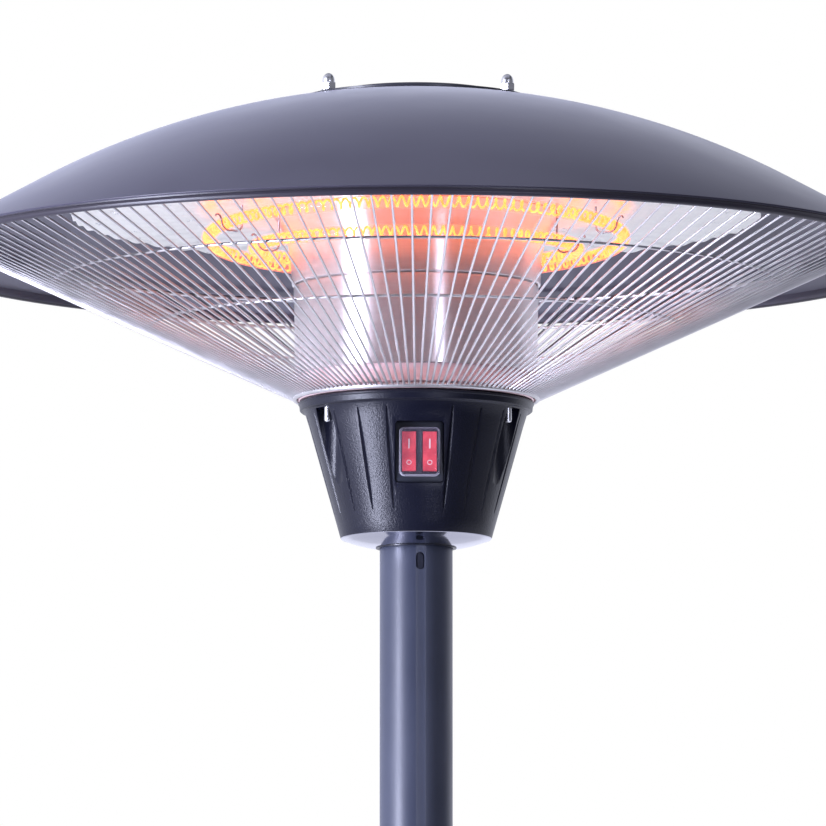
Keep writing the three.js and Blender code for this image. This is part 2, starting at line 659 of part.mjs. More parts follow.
// One unbroken wire along the coil's centre line.
function heatingCoil(lamp, name) {
  const { points, spokes } = coilPath(lamp);
  const positions = [];
  const faces = [];
  points.forEach((point, i) => {
    const before = points[Math.max(0, i - 1)];
    const after = points[Math.min(points.length - 1, i + 1)];
    const tangent = after.clone().sub(before).normalize();
    const across = new THREE.Vector3().crossVectors(tangent, spokes[i]).normalize();
    const up = new THREE.Vector3().crossVectors(across, tangent).normalize();
    for (let k = 0; k < COIL_WIRE_SIDES; k++) {
      const angle = (2 * Math.PI * k) / COIL_WIRE_SIDES;
      const corner = point
        .clone()
        .addScaledVector(up, COIL_WIRE_RADIUS * Math.cos(angle))
        .addScaledVector(across, COIL_WIRE_RADIUS * Math.sin(angle));
      positions.push(corner.x, corner.y, corner.z);
    }
  });
  for (let i = 0; i + 1 < points.length; i++) {
    for (let k = 0; k < COIL_WIRE_SIDES; k++) {
      const a = i * COIL_WIRE_SIDES + k;
      const b = i * COIL_WIRE_SIDES + ((k + 1) % COIL_WIRE_SIDES);
      const [c, d] = [a + COIL_WIRE_SIDES, b + COIL_WIRE_SIDES];
      faces.push(a, b, d, a, d, c);
    }
  }
  const last = (points.length - 1) * COIL_WIRE_SIDES;
  for (let k = 1; k + 1 < COIL_WIRE_SIDES; k++) {
    faces.push(0, k + 1, k);
    faces.push(last, last + k, last + k + 1);
  }
  console.log(`${name}: least gap between turns ${leastGap(points).toFixed(2)} mm`);
  const geometry = new THREE.BufferGeometry();
  geometry.setAttribute("position", new THREE.Float32BufferAttribute(positions, 3));
  geometry.setIndex(faces);
  return closed(geometry);
}

// The least distance between the wire's surfaces on neighbouring turns.
function leastGap(points) {
  let least = Infinity;
  for (let i = 0; i < points.length; i++) {
    for (let j = i + COIL_STEPS - 1; j < Math.min(points.length, i + 3 * COIL_STEPS); j++) {
      least = Math.min(least, points[i].distanceTo(points[j]));
    }
  }
  return least - 2 * COIL_WIRE_RADIUS;
}

// A ceramic holder between the two ends of a lamp's tube, hung from the reflector.
function lampHolder(lamp) {
  const radius = lamp.radius;
  const length = (2 * radius - HOLDER_DEPTH) * Math.tan(rad(LAMP_GAP_ANGLE)) - 2 * SEAT_GAP;
  const middle = lampHeight(lamp, 180);
  const body = block(length, HOLDER_DEPTH, HOLDER_HEIGHT).translate(0, radius, middle);
  const top = reflectorUnderside(radius) - SEAT_GAP;
  const stemLow = middle + HOLDER_HEIGHT / 2 - 1;
  const stem = block(8, 6, top - stemLow).translate(0, radius, (top + stemLow) / 2);
  return join(body, stem);
}

// A bent wire hook that hangs from the reflector and carries the tube.
function lampClip(lamp, azimuth) {
  const bend = TUBE_RADIUS + SEAT_GAP + CLIP_WIRE_RADIUS;
  const middle = lampHeight(lamp, azimuth);
  const top = reflectorUnderside(lamp.radius - CLIP_LEG) - SEAT_GAP - middle;
  const leg = [[-CLIP_LEG, top], [-CLIP_LEG, top / 2], [-CLIP_LEG, -1.5], [-CLIP_LEG * 0.8, -0.85 * bend]];
  const cradle = [[-CLIP_LEG * 0.4, -1.03 * bend], [0, -1.02 * bend], [0.72 * bend, -0.72 * bend]];
  const curl = [[1.02 * bend, 0], [1.13 * bend, bend / 2]];
  const tip = [[1.46 * bend, 0.82 * bend], [1.8 * bend, 0.65 * bend]];
  const outline = [...leg, ...cradle, ...curl, ...tip];
  const points = outline.map(([out, up]) => new THREE.Vector3(0, -lamp.radius - out, middle + up));
  return sweptWire(points, CLIP_WIRE_RADIUS, 4).rotateZ(rad(azimuth));
}

// A round wire through points that lie in one plane X = constant.
function sweptWire(points, radius, sides) {
  const positions = [];
  const faces = [];
  const across = new THREE.Vector3(1, 0, 0);
  points.forEach((point, i) => {
    const before = points[Math.max(0, i - 1)];
    const after = points[Math.min(points.length - 1, i + 1)];
    const tangent = after.clone().sub(before).normalize();
    const up = new THREE.Vector3().crossVectors(across, tangent);
    for (let k = 0; k < sides; k++) {
      const angle = (2 * Math.PI * (k + 0.5)) / sides;
      const corner = point
        .clone()
        .addScaledVector(up, radius * Math.cos(angle))
        .addScaledVector(across, radius * Math.sin(angle));
      positions.push(corner.x, corner.y, corner.z);
    }
  });
  for (let i = 0; i + 1 < points.length; i++) {
    for (let k = 0; k < sides; k++) {
      const a = i * sides + k;
      const b = i * sides + ((k + 1) % sides);
      faces.push(a, b, b + sides, a, b + sides, a + sides);
    }
  }
  const last = (points.length - 1) * sides;
  for (let k = 1; k + 1 < sides; k++) {
    faces.push(0, k + 1, k);
    faces.push(last, last + k, last + k + 1);
  }
  const geometry = new THREE.BufferGeometry();
  geometry.setAttribute("position", new THREE.Float32BufferAttribute(positions, 3));
  geometry.setIndex(faces);
  return closed(geometry);
}

// ---------------------------------------------------------------- collar

// A narrow V groove that runs down the collar's taper and fades out at both ends.
function collarGroove() {
  const low = collarRadius(GROOVE_BOTTOM_Z);
  const high = collarRadius(GROOVE_TOP_Z);
  const proud = 2;
  const half = GROOVE_WIDTH / 2;
  const spread = (half * (GROOVE_DEPTH + proud)) / GROOVE_DEPTH;
  const section = (radius, z, depth) => [
    [-spread, -(radius + proud), z],
    [spread, -(radius + proud), z],
    [0, -(radius - depth), z],
  ];
  return hull3(section(low, GROOVE_BOTTOM_Z, GROOVE_DEPTH), section(high, GROOVE_TOP_Z, GROOVE_DEPTH));
}

// A prism between two triangles, given as three [x, y, z] corners each.
function hull3(bottom, top) {
  const geometry = new THREE.BufferGeometry();
  geometry.setAttribute("position", new THREE.Float32BufferAttribute([...bottom, ...top].flat(), 3));
  geometry.setIndex([0, 2, 1, 3, 4, 5, 0, 1, 4, 0, 4, 3, 1, 2, 5, 1, 5, 4, 2, 0, 3, 2, 3, 5]);
  return closed(geometry);
}

// A round channel about the rod's axis, which runs out where the wall tapers in past it.
function rodPocket() {
  return rod(POCKET_RADIUS, COLLAR_BOTTOM_Z, POCKET_ROOF_Z, 12).translate(0, -ROD_CIRCLE, 0);
}

function collarHousing() {
  const cavityKnee = -118;
  const floorRadius = collarRadius(COLLAR_FLOOR_Z) - COLLAR_WALL;
  const holeRadius = MAST_RADIUS + 0.6;
  const outline = [
    [COLLAR_CAVITY_RADIUS, COLLAR_TOP_Z],
    [COLLAR_LIP_RADIUS, COLLAR_TOP_Z],
    [COLLAR_LIP_RADIUS - 1.2, POCKET_ROOF_Z],
    [COLLAR_TOP_RADIUS, POCKET_ROOF_Z - 0.6],
    [COLLAR_BOTTOM_RADIUS, COLLAR_BOTTOM_Z],
    [COLLAR_BOTTOM_RADIUS - 1, COLLAR_BOTTOM_Z - 1.2],
    [(COLLAR_BOTTOM_RADIUS + holeRadius) / 2, COLLAR_BELLY_Z + 1.4],
    [holeRadius, COLLAR_BELLY_Z],
    [holeRadius, COLLAR_FLOOR_Z],
    [floorRadius, COLLAR_FLOOR_Z],
    [collarRadius(cavityKnee) - COLLAR_WALL, cavityKnee],
  ];
  const pockets = ROD_AZIMUTHS.map((azimuth) => carried(rodPocket(), azimuth));
  const holes = rodHoles(POCKET_ROOF_Z - 5, COLLAR_TOP_Z + 5);
  const grooves = ROD_AZIMUTHS.flatMap((azimuth) =>
    GROOVE_OFFSETS.flatMap((offset) => [
      carried(collarGroove(), azimuth - offset),
      carried(collarGroove(), azimuth + offset),
    ]),
  );
  const fit = 2 * SEAT_GAP;
  const reach = COLLAR_LIP_RADIUS;
  const recess = block(SWITCH_WIDTH + fit, reach, SWITCH_HEIGHT + fit);
  recess.translate(0, SWITCH_PLATE + SEAT_GAP - reach / 2, 0);
  const well = block(SWITCH_BODY_WIDTH + fit, 60, SWITCH_BODY_HEIGHT + fit);
  for (const tool of [recess, well]) tool.rotateX(rad(SWITCH_LEAN)).translate(0, SWITCH_Y, SWITCH_Z);
  return cut(turned(outline, COLLAR_SIDES), ...pockets, ...holes, ...grooves, recess, well);
}

// ---------------------------------------------------------------- switch, in its own leaning frame

// A face plate with a window for each rocker, and the body behind it. The plate's front face is at y = 0.
function switchFrame() {
  const face = plate(roundedRectangle(SWITCH_WIDTH, SWITCH_HEIGHT, 1.5, 2), 0, SWITCH_PLATE);
  const body = block(SWITCH_BODY_WIDTH, SWITCH_BODY_DEPTH, SWITCH_BODY_HEIGHT);
  body.translate(0, SWITCH_PLATE - 1 + SWITCH_BODY_DEPTH / 2, 0);
  const windows = [-1, 1].map((side) => {
    const window = block(ROCKER_WIDTH + 2 * ROCKER_CLEARANCE, 2 * WINDOW_DEPTH, WINDOW_HEIGHT);
    return window.translate((side * ROCKER_SPACING) / 2, 0, 0);
  });
  return cut(join(face, body), ...windows);
}

// A rocker with a hollow front, level here. It turns about X through its own origin.
function rocker() {
  const half = ROCKER_HEIGHT / 2;
  const side = [[-2.3, half], [-1.2, 0], [-2.3, -half], [1, -half], [3.4, -5], [3.4, 5], [1, half]];
  const shape = new THREE.Shape(side.map(([y, z]) => new THREE.Vector2(y, z)));
  const geometry = new THREE.ExtrudeGeometry(shape, { depth: ROCKER_WIDTH, bevelEnabled: false });
  geometry.translate(0, 0, -ROCKER_WIDTH / 2);
  // The outline's x is the depth (Y), its y is the height (Z), and the width lies along X.
  geometry.applyMatrix4(new THREE.Matrix4().set(0, 0, 1, 0, 1, 0, 0, 0, 0, 1, 0, 0, 0, 0, 0, 1));
  return closed(geometry);
}

// A thin clear box with round corners, open at the back.
function switchCover() {
  const outer = plate(roundedRectangle(COVER_WIDTH, COVER_HEIGHT, COVER_CORNER), -COVER_DEPTH, -SEAT_GAP);
  const [width, height] = [COVER_WIDTH - 2 * COVER_WALL, COVER_HEIGHT - 2 * COVER_WALL];
  const hollow = roundedRectangle(width, height, COVER_CORNER - COVER_WALL);
  const inner = plate(hollow, COVER_WALL - COVER_DEPTH, 1);
  return cut(outer, inner);
}

// ---------------------------------------------------------------- mast

function upperPole() {
  const tube = ring(MAST_RADIUS - MAST_WALL, MAST_RADIUS, MAST_BOTTOM_Z, MAST_TOP_Z, POLE_SIDES);
  const half = MAST_SLOT_WIDTH / 2;
  const straight = MAST_SLOT_HEIGHT / 2 - half;
  const outline = Array.from({ length: 10 }, (_, i) => {
    const upper = i < 5;
    const angle = rad(upper ? 45 * i : 180 + 45 * (i - 5));
    return [half * Math.cos(angle), half * Math.sin(angle) + (upper ? straight : -straight)];
  });
  const slot = plate(outline, -MAST_RADIUS - 5, -MAST_RADIUS + 2 * MAST_WALL).translate(0, 0, MAST_SLOT_Z);
  return cut(tube, carried(slot, MAST_SLOT_AZIMUTH));
}

// The spigot stands in the mast's top and its flange lies on the collar's floor.
function headSpigot() {
  const radius = MAST_RADIUS - MAST_WALL - SPIGOT_FIT;
  const low = COLLAR_FLOOR_Z + SEAT_GAP;
  const high = low + SPIGOT_FLANGE_THICKNESS;
  return turned(
    [
      [radius - SPIGOT_WALL, low - SPIGOT_LENGTH],
      [radius, low - SPIGOT_LENGTH],
      [radius, low],
      [SPIGOT_FLANGE_RADIUS, low],
      [SPIGOT_FLANGE_RADIUS, high],
      [radius - SPIGOT_WALL, high],
    ],
    INSERT_SIDES,
  );
}

// The plug closes the mast's foot and guides it in the column.
function polePlug() {
  const insert = MAST_RADIUS - MAST_WALL - SPIGOT_FIT;
  const flange = COLUMN_RADIUS - COLUMN_WALL - BUSH_FIT;
  const seat = MAST_BOTTOM_Z - SEAT_GAP;
  return turned(
    [
      [insert - 3, seat - PLUG_FLANGE],
      [flange, seat - PLUG_FLANGE],
      [flange, seat],
      [insert, seat],
      [insert, seat + PLUG_LENGTH],
      [insert - 3, seat + PLUG_LENGTH],
    ],
    INSERT_SIDES,
  );
}

// ---------------------------------------------------------------- column, clamp and knob

const SOCKET_Z = FOOT_HEIGHT + SEAT_GAP + WEIGHT_THICKNESS + SEAT_GAP;
const COLUMN_BOTTOM = SOCKET_Z + SOCKET_FLANGE_THICKNESS + SEAT_GAP;

const lowerPole = () =>
  ring(COLUMN_RADIUS - COLUMN_WALL, COLUMN_RADIUS, COLUMN_BOTTOM, COLUMN_TOP, POLE_SIDES);

function guideBush() {
  const bore = MAST_RADIUS + BUSH_FIT;
  const sleeve = COLUMN_RADIUS - COLUMN_WALL - BUSH_FIT;
  const seat = COLUMN_TOP + SEAT_GAP;
  return turned(
    [
      [bore, seat - BUSH_LENGTH],
      [sleeve, seat - BUSH_LENGTH],
      [sleeve, seat],
      [COLUMN_RADIUS, seat],
      [COLUMN_RADIUS, seat + BUSH_FLANGE],
      [bore, seat + BUSH_FLANGE],
    ],
    POLE_SIDES,
  );
}

// The clamp's skirt grips the column, and its head closes round the mast. A boss at +X takes the knob.
function clampCollar() {
  const skirtBore = COLUMN_RADIUS + BUSH_FIT;
  const headBore = MAST_RADIUS + 2 * BUSH_FIT;
  const step = COLUMN_TOP + SEAT_GAP + BUSH_FLANGE + SEAT_GAP;
  const top = COLUMN_TOP + CLAMP_HEAD;
  const low = COLUMN_TOP - CLAMP_SKIRT;
  const body = turned(
    [
      [skirtBore, low],
      [CLAMP_RADIUS - CLAMP_CHAMFER, low],
      [CLAMP_RADIUS, low + CLAMP_CHAMFER],
      [CLAMP_RADIUS, top - CLAMP_CHAMFER],
      [CLAMP_RADIUS - CLAMP_CHAMFER, top],
      [headBore, top],
      [headBore, step],
      [skirtBore, step],
    ],
    POLE_SIDES,
  );
  const boss = rod(BOSS_RADIUS, MAST_RADIUS + 4, BOSS_REACH, 16);
  const hole = rod(STUD_RADIUS + 0.4, 0, BOSS_REACH + 5, 12);
  for (const piece of [boss, hole]) piece.rotateY(Math.PI / 2).translate(0, 0, KNOB_HEIGHT);
  return cut(join(body, boss), hole);
}

// A lobed knob with its stud, whose tip bears on the mast. It turns about X at the knob's height.
function clampKnob() {
  const seat = BOSS_REACH + SEAT_GAP;
  const steps = KNOB_LOBES * 8;
  const outline = Array.from({ length: steps }, (_, i) => {
    const angle = (2 * Math.PI * i) / steps;
    const radius = KNOB_RADIUS * (1 - 0.12 * (1 - Math.cos(KNOB_LOBES * angle)));
    return new THREE.Vector2(radius * Math.cos(angle), radius * Math.sin(angle));
  });
  const shape = new THREE.Shape(outline);
  const head = new THREE.ExtrudeGeometry(shape, { depth: KNOB_THICKNESS, bevelEnabled: false });
  head.rotateY(Math.PI / 2).translate(seat, 0, 0);
  const stud = rod(STUD_RADIUS, MAST_RADIUS + SEAT_GAP, seat + 2, 12).rotateY(Math.PI / 2);
  return join(closed(head), stud).translate(0, 0, KNOB_HEIGHT);
}

// ---------------------------------------------------------------- base

const WEIGHT_Z = FOOT_HEIGHT + SEAT_GAP;
const CORNER_AZIMUTHS = [45, 135, 225, 315]; // feet and bolts

const boltHoles = (low, high) =>
  CORNER_AZIMUTHS.map((azimuth) => {
    const at = polar(BOLT_CIRCLE, azimuth);
    return rod(BOLT_HOLE_RADIUS, low, high, 8).translate(at.x, at.y, 0);
  });

function baseWeight() {
  const top = WEIGHT_Z + WEIGHT_THICKNESS;
  const disc = ring(WEIGHT_HOLE_RADIUS, WEIGHT_RADIUS, WEIGHT_Z, top, BASE_SIDES);
  return cut(disc, ...boltHoles(WEIGHT_Z - 1, top + 1));
}

// A pressed cover that rests on the weight and rises to a collar round the column.
function baseCover() {
  const top = WEIGHT_Z + WEIGHT_THICKNESS + SEAT_GAP;
  const edgeTop = BASE_EDGE_Z + BASE_EDGE_HEIGHT;
  const hole = COLUMN_RADIUS + 0.6;
  const shoulder = 0.6 * BASE_RADIUS;
  const cone = 0.28 * BASE_RADIUS;
  const outer = [
    [BASE_RADIUS, BASE_EDGE_Z],
    [BASE_RADIUS, edgeTop],
    [BASE_RADIUS - 8, top + BASE_SHEET],
    [shoulder, top + 13],
    [cone, top + 24],
    [BASE_COLLAR_RADIUS, BASE_COLLAR_Z],
    [hole, BASE_COLLAR_Z],
  ];
  const inner = [
    [hole, BASE_COLLAR_Z - BASE_SHEET],
    [BASE_COLLAR_RADIUS - BASE_SHEET, BASE_COLLAR_Z - BASE_SHEET],
    [cone - 2, top + 24 - 2 * BASE_SHEET],
    [shoulder, top + 13 - BASE_SHEET],
    [WEIGHT_RADIUS, top],
    [BASE_RADIUS - BASE_SHEET, edgeTop - 1],
    [BASE_RADIUS - BASE_SHEET, BASE_EDGE_Z],
  ];
  return turned([...outer, ...inner], BASE_SIDES);
}

function poleSocket() {
  const radius = COLUMN_RADIUS - COLUMN_WALL - SPIGOT_FIT;
  const top = SOCKET_Z + SOCKET_FLANGE_THICKNESS;
  const outline = [
    [radius - SOCKET_WALL, SOCKET_Z],
    [SOCKET_FLANGE_RADIUS, SOCKET_Z],
    [SOCKET_FLANGE_RADIUS, top],
    [radius, top],
    [radius, top + SOCKET_HEIGHT],
    [radius - SOCKET_WALL, top + SOCKET_HEIGHT],
  ];
  return cut(turned(outline, INSERT_SIDES), ...boltHoles(SOCKET_Z - 1, top + 1));
}

function socketBolt() {
  const seat = SOCKET_Z + SOCKET_FLANGE_THICKNESS + SEAT_GAP;
  const head = rod(BOLT_HEAD_ACROSS / 2 / Math.cos(Math.PI / 6), seat, seat + BOLT_HEAD_HEIGHT, 6);
  return join(head, rod(BOLT_RADIUS, WEIGHT_Z + 1, seat + 1, 8));
}

const baseFoot = () =>
  turned([[0, 0], [FOOT_RADIUS - 2, 0], [FOOT_RADIUS, 2], [FOOT_RADIUS, FOOT_HEIGHT], [0, FOOT_HEIGHT]], 12);

// The mains lead's gland at the back of the column.
function cableGland() {
  const seat = COLUMN_RADIUS + SEAT_GAP;
  const body = turned(
    [
      [GLAND_BORE_RADIUS, seat],
      [GLAND_RADIUS, seat],
      [GLAND_RADIUS, seat + GLAND_LENGTH * 0.6],
      [GLAND_RADIUS * 0.7, seat + GLAND_LENGTH],
      [GLAND_BORE_RADIUS, seat + GLAND_LENGTH],
    ],
    12,
  );
  return body.rotateX(-Math.PI / 2).translate(0, 0, GLAND_HEIGHT);
}

// ---------------------------------------------------------------- assembly

function standGroup() {
  const group = new THREE.Group();
  addPart(group, "base_weight", baseWeight(), MATERIALS.iron);
  addPart(group, "base_cover", baseCover(), MATERIALS.pole);
  CORNER_AZIMUTHS.forEach((azimuth, i) => {
    const foot = addPart(group, `base_foot_${i + 1}`, baseFoot(), MATERIALS.rubber);
    foot.position.copy(polar(FOOT_CIRCLE, azimuth));
  });
  addPart(group, "pole_socket", poleSocket(), MATERIALS.zinc);
  CORNER_AZIMUTHS.forEach((azimuth, i) => {
    const bolt = addPart(group, `socket_bolt_${i + 1}`, socketBolt(), MATERIALS.zinc);
    bolt.position.copy(polar(BOLT_CIRCLE, azimuth));
  });
  addPart(group, "lower_pole", lowerPole(), MATERIALS.pole);
  addPart(group, "cable_gland", cableGland(), MATERIALS.plastic);
  addPart(group, "guide_bush", guideBush(), MATERIALS.plastic);
  addPart(group, "clamp_collar", clampCollar(), MATERIALS.plastic);
  addPart(group, "clamp_knob", clampKnob(), MATERIALS.plastic);
  return group;
}

function clampedStack(group) {
  ROD_AZIMUTHS.forEach((azimuth, i) => {
    const at = polar(ROD_CIRCLE, azimuth);
    const place = (mesh, z = 0) => mesh.position.set(at.x, at.y, z);
    place(addPart(group, `tie_rod_${i + 1}`, tieRod(), MATERIALS.zinc));
    const washer = ring(ROD_HOLE_RADIUS, WASHER_RADIUS, 0, WASHER_THICKNESS, 10);
    place(addPart(group, `cap_washer_${i + 1}`, washer, MATERIALS.zinc), WASHER_Z);
    place(addPart(group, `acorn_nut_${i + 1}`, acornNut(), MATERIALS.chrome), NUT_Z);
    const low = REFLECTOR_HUB_Z + REFLECTOR_SHEET + SEAT_GAP;
    const high = shadeUnderside(ROD_CIRCLE + SLEEVE_RADIUS) - SEAT_GAP;
    const sleeve = ring(ROD_HOLE_RADIUS, SLEEVE_RADIUS, low, high, 8);
    place(addPart(group, `spacer_sleeve_${i + 1}`, sleeve, MATERIALS.zinc));
  });
}

function lampGroup(lamp, label) {
  const group = new THREE.Group();
  const leaning = new THREE.Group();
  leaning.position.z = lamp.z;
  leaning.rotation.x = -rad(lamp.lean);
  addPart(leaning, `${label}_quartz_tube`, quartzTube(lamp), MATERIALS.quartz);
  addPart(leaning, `${label}_heating_coil`, heatingCoil(lamp, label), MATERIALS.glow);
  group.add(leaning);
  addPart(group, `${label}_lamp_holder`, lampHolder(lamp), MATERIALS.ceramic);
  addPart(group, `${label}_clip_right`, lampClip(lamp, lamp.clips), MATERIALS.zinc);
  addPart(group, `${label}_clip_left`, lampClip(lamp, -lamp.clips), MATERIALS.zinc);
  return group;
}

function switchGroup() {
  const group = new THREE.Group();
  group.position.set(0, SWITCH_Y, SWITCH_Z);
  group.rotation.x = rad(SWITCH_LEAN);
  addPart(group, "switch_frame", switchFrame(), MATERIALS.plastic);
  addPart(group, "switch_cover", switchCover(), MATERIALS.clear);
  for (const [side, sign] of [["left", -1], ["right", 1]]) {
    const mesh = addPart(group, `rocker_${side}`, rocker(), MATERIALS.rocker);
    mesh.position.x = (sign * ROCKER_SPACING) / 2;
    mesh.rotation.x = -rad(ROCKER_ANGLE); // pressed in at the top: on
  }
  return group;
}

function headGroup() {
  const group = new THREE.Group();
  group.position.z = RIM_HEIGHT;
  addPart(group, "shade_dome", shadeDome(), MATERIALS.shade);
  addPart(group, "top_cap", topCap(), MATERIALS.cap);
  clampedStack(group);
  addPart(group, "reflector", reflector(), MATERIALS.polished);
  addPart(group, "upper_drum", upperDrum(), MATERIALS.polished);
  addPart(group, "lower_drum", lowerDrum(), MATERIALS.polished);
  addPart(group, "drum_pan", drumPan(), MATERIALS.polished);
  addPart(group, "grille_cone", grilleCone(), MATERIALS.wire);
  addPart(group, "grille_hoop_lower", grilleHoop(LOWER_HOOP_RADIUS), MATERIALS.wire);
  addPart(group, "grille_hoop_upper", grilleHoop(UPPER_HOOP_RADIUS), MATERIALS.wire);
  group.add(lampGroup(OUTER_LAMP, "outer"), lampGroup(INNER_LAMP, "inner"));
  const panTop = PAN_BOTTOM_Z + DRUM_SHEET + SEAT_GAP;
  const terminal = addPart(group, "terminal_block", block(...TERMINAL_SIZE), MATERIALS.ceramic);
  terminal.position.set(0, 35, panTop + TERMINAL_SIZE[2] / 2);
  const tilt = addPart(group, "tilt_switch", block(...TILT_SWITCH_SIZE), MATERIALS.plastic);
  tilt.position.set(0, -32, panTop + TILT_SWITCH_SIZE[2] / 2);
  addPart(group, "collar_housing", collarHousing(), MATERIALS.plastic);
  group.add(switchGroup());
  addPart(group, "head_spigot", headSpigot(), MATERIALS.zinc);
  addPart(group, "upper_pole", upperPole(), MATERIALS.pole);
  addPart(group, "pole_plug", polePlug(), MATERIALS.plastic);
  return group;
}

const heater = new THREE.Group();
heater.add(standGroup(), headGroup());

export default heater;
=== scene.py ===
"""Looks for a free-standing infrared patio heater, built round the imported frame.

Sizes are in millimetres. Heights in the head are measured from the shade's rim, heights in the stand from
the floor. Azimuths are in degrees from the front (-Y), positive towards +X.
"""

import math

import bmesh
import bpy
from mathutils import Matrix, Vector


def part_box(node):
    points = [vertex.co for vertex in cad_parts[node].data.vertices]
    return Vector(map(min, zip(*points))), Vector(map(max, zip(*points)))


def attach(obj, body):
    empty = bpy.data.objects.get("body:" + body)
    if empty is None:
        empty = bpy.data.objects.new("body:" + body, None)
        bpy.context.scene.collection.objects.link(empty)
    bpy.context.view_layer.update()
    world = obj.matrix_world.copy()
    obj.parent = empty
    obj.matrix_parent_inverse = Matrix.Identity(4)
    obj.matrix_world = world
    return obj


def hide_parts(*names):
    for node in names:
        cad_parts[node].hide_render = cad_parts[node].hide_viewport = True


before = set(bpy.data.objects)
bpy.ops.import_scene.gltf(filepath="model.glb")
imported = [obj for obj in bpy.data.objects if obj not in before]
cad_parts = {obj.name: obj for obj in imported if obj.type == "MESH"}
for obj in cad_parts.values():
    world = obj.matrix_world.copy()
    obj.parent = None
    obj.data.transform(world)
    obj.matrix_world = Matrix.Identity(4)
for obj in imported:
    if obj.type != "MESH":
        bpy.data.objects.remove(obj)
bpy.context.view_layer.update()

MM = 0.001
GAP = 0.3  # between sheets and parts that are stacked
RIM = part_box("shade_dome")[0][2] / MM
HEAD, STAND = "head", "stand"

# ---------------------------------------------------------------- sizes, as in the solids

SHADE_RADIUS = 300
SHADE_SHEET = 1.2
CROWN_RADIUS = 68
CROWN_HOLE_RADIUS = 30
DOME_CURVE = 480
SKIRT_ANGLE = math.radians(28.6)
HEM_HEIGHT = 5
SHOULDER_RADIUS = DOME_CURVE * math.sin(SKIRT_ANGLE)
SKIRT_SLOPE = math.tan(SKIRT_ANGLE)
DOME_RISE = math.sqrt(DOME_CURVE**2 - CROWN_RADIUS**2) - math.sqrt(DOME_CURVE**2 - SHOULDER_RADIUS**2)
CROWN_Z = HEM_HEIGHT + (SHADE_RADIUS - SHOULDER_RADIUS) * SKIRT_SLOPE + DOME_RISE

CAP_RADIUS = 70
CAP_SHEET = 1
CAP_STEP_RADIUS = 53
CAP_STEP_Z = CROWN_Z + 4.9

ROD_CIRCLE = 61.5
ROD_AZIMUTHS = (60, -60, 180)
ROD_RADIUS = 2.4
ROD_TAIL = 9.6
WASHER_BORE = 2.9
WASHER_RADIUS = 5
WASHER_SHEET = 1
NUT_RADIUS = 4.62
NUT_HEIGHT = 4.4
NUT_DOME_RADIUS = 3.75
SLEEVE_BOTTOM_Z = 30.4
SLEEVE_TOP_Z = 95.4

REFLECTOR_RADIUS = 206
REFLECTOR_HOLE_RADIUS = 24
REFLECTOR_HUB_RADIUS = 86
REFLECTOR_HUB_Z = 29.3
REFLECTOR_RIM_Z = 28.2
REFLECTOR_SHEET = 0.8
PLEATS = 60
PLEAT_DEPTH = 1.4

DRUM_SEAM_Z = -13.8
UPPER_DRUM_RADIUS = 74.8
FLARE_START_Z = -3
FLARE_TOP_RADIUS = 86
LOWER_DRUM_RADIUS = 72.5
LOWER_DRUM_BOTTOM_Z = -68
DRUM_SHEET = 1
PAN_BOTTOM_Z = -83
PAN_HOLE_RADIUS = 14

GRILLE_BARS = 140
BAR_RADIUS = 0.75
GRILLE_FOOT = (73.2, -81.6)
GRILLE_HEAD = (275.5, 12)
LOWER_HOOP_RADIUS = 160.5
UPPER_HOOP_RADIUS = 217.7
HOOP_WIRE_RADIUS = 0.9
FOOT_RING_WIRE_RADIUS = 1.5
HEAD_RING_WIRE_RADIUS = 1.3

TUBE_RADIUS = 4.2
COIL_RADIUS = 2.9
COIL_WIRE_RADIUS = 0.75
COIL_PITCH = 5.7
COIL_END_ANGLE = 2
LAMP_GAP_ANGLE = 7
LAMPS = {
    "outer": {"radius": 124, "z": 15.2, "lean": 2.45, "clips": 65},
    "inner": {"radius": 96.5, "z": 9, "lean": -1.5, "clips": 69.5},
}
CLIP_WIRE_RADIUS = 0.6
CLIP_LEG = 8.2
HOLDER_DEPTH = 13
HOLDER_HEIGHT = 12
HOLDER_STEM_SIZE = (8, 6)

COLLAR_TOP_Z = -83.3
COLLAR_LIP_RADIUS = 70.3
COLLAR_LIP_Z = -89.6
COLLAR_TOP_RADIUS = 66.3
COLLAR_BOTTOM_RADIUS = 45
COLLAR_BOTTOM_Z = -165.4
COLLAR_BELLY_Z = -171
GROOVE_OFFSETS = (9.6, 26, 42.5)
GROOVE_TOP_Z = -93
GROOVE_BOTTOM_Z = -152
POCKET_RADIUS = 8.2

SWITCH_Z = -119.2
SWITCH_Y = -52.6
SWITCH_LEAN = math.radians(7)
SWITCH_SIZE = (28.3, 36)
ROCKER_SIZE = (8.1, 23.3)
ROCKER_SPACING = 12.3
ROCKER_ANGLE = math.radians(8)
COVER_SIZE = (24, 29)
COVER_DEPTH = 6
COVER_WALL = 0.8
WINDOW_HEIGHT = 25

MAST_RADIUS = 21.7
MAST_SLOT_Z = -180.7
MAST_SLOT_SIZE = (5.2, 10.4)
MAST_SLOT_AZIMUTH = 4.5
COLUMN_RADIUS = 25.4
COLUMN_BOTTOM = 28.9
COLUMN_TOP = 1180
CLAMP_RADIUS = 32
CLAMP_BOTTOM = COLUMN_TOP - 32
CLAMP_TOP = COLUMN_TOP + 40
BOSS_RADIUS = 11
STUD_RADIUS = 4
STUD_HOLE_RADIUS = 4.4
KNOB_HEIGHT = COLUMN_TOP + 22
KNOB_SEAT = 42.3
KNOB_RADIUS = 21
KNOB_LOBES = 6
GLAND_HEIGHT = 120
BASE_RADIUS = 250
BASE_HUB_TOP = 74
WEIGHT_RADIUS = 236
WEIGHT_BOTTOM = 8.3
WEIGHT_TOP = 22.3
FOOT_CIRCLE = 0.82 * BASE_RADIUS

# ---------------------------------------------------------------- mesh helpers


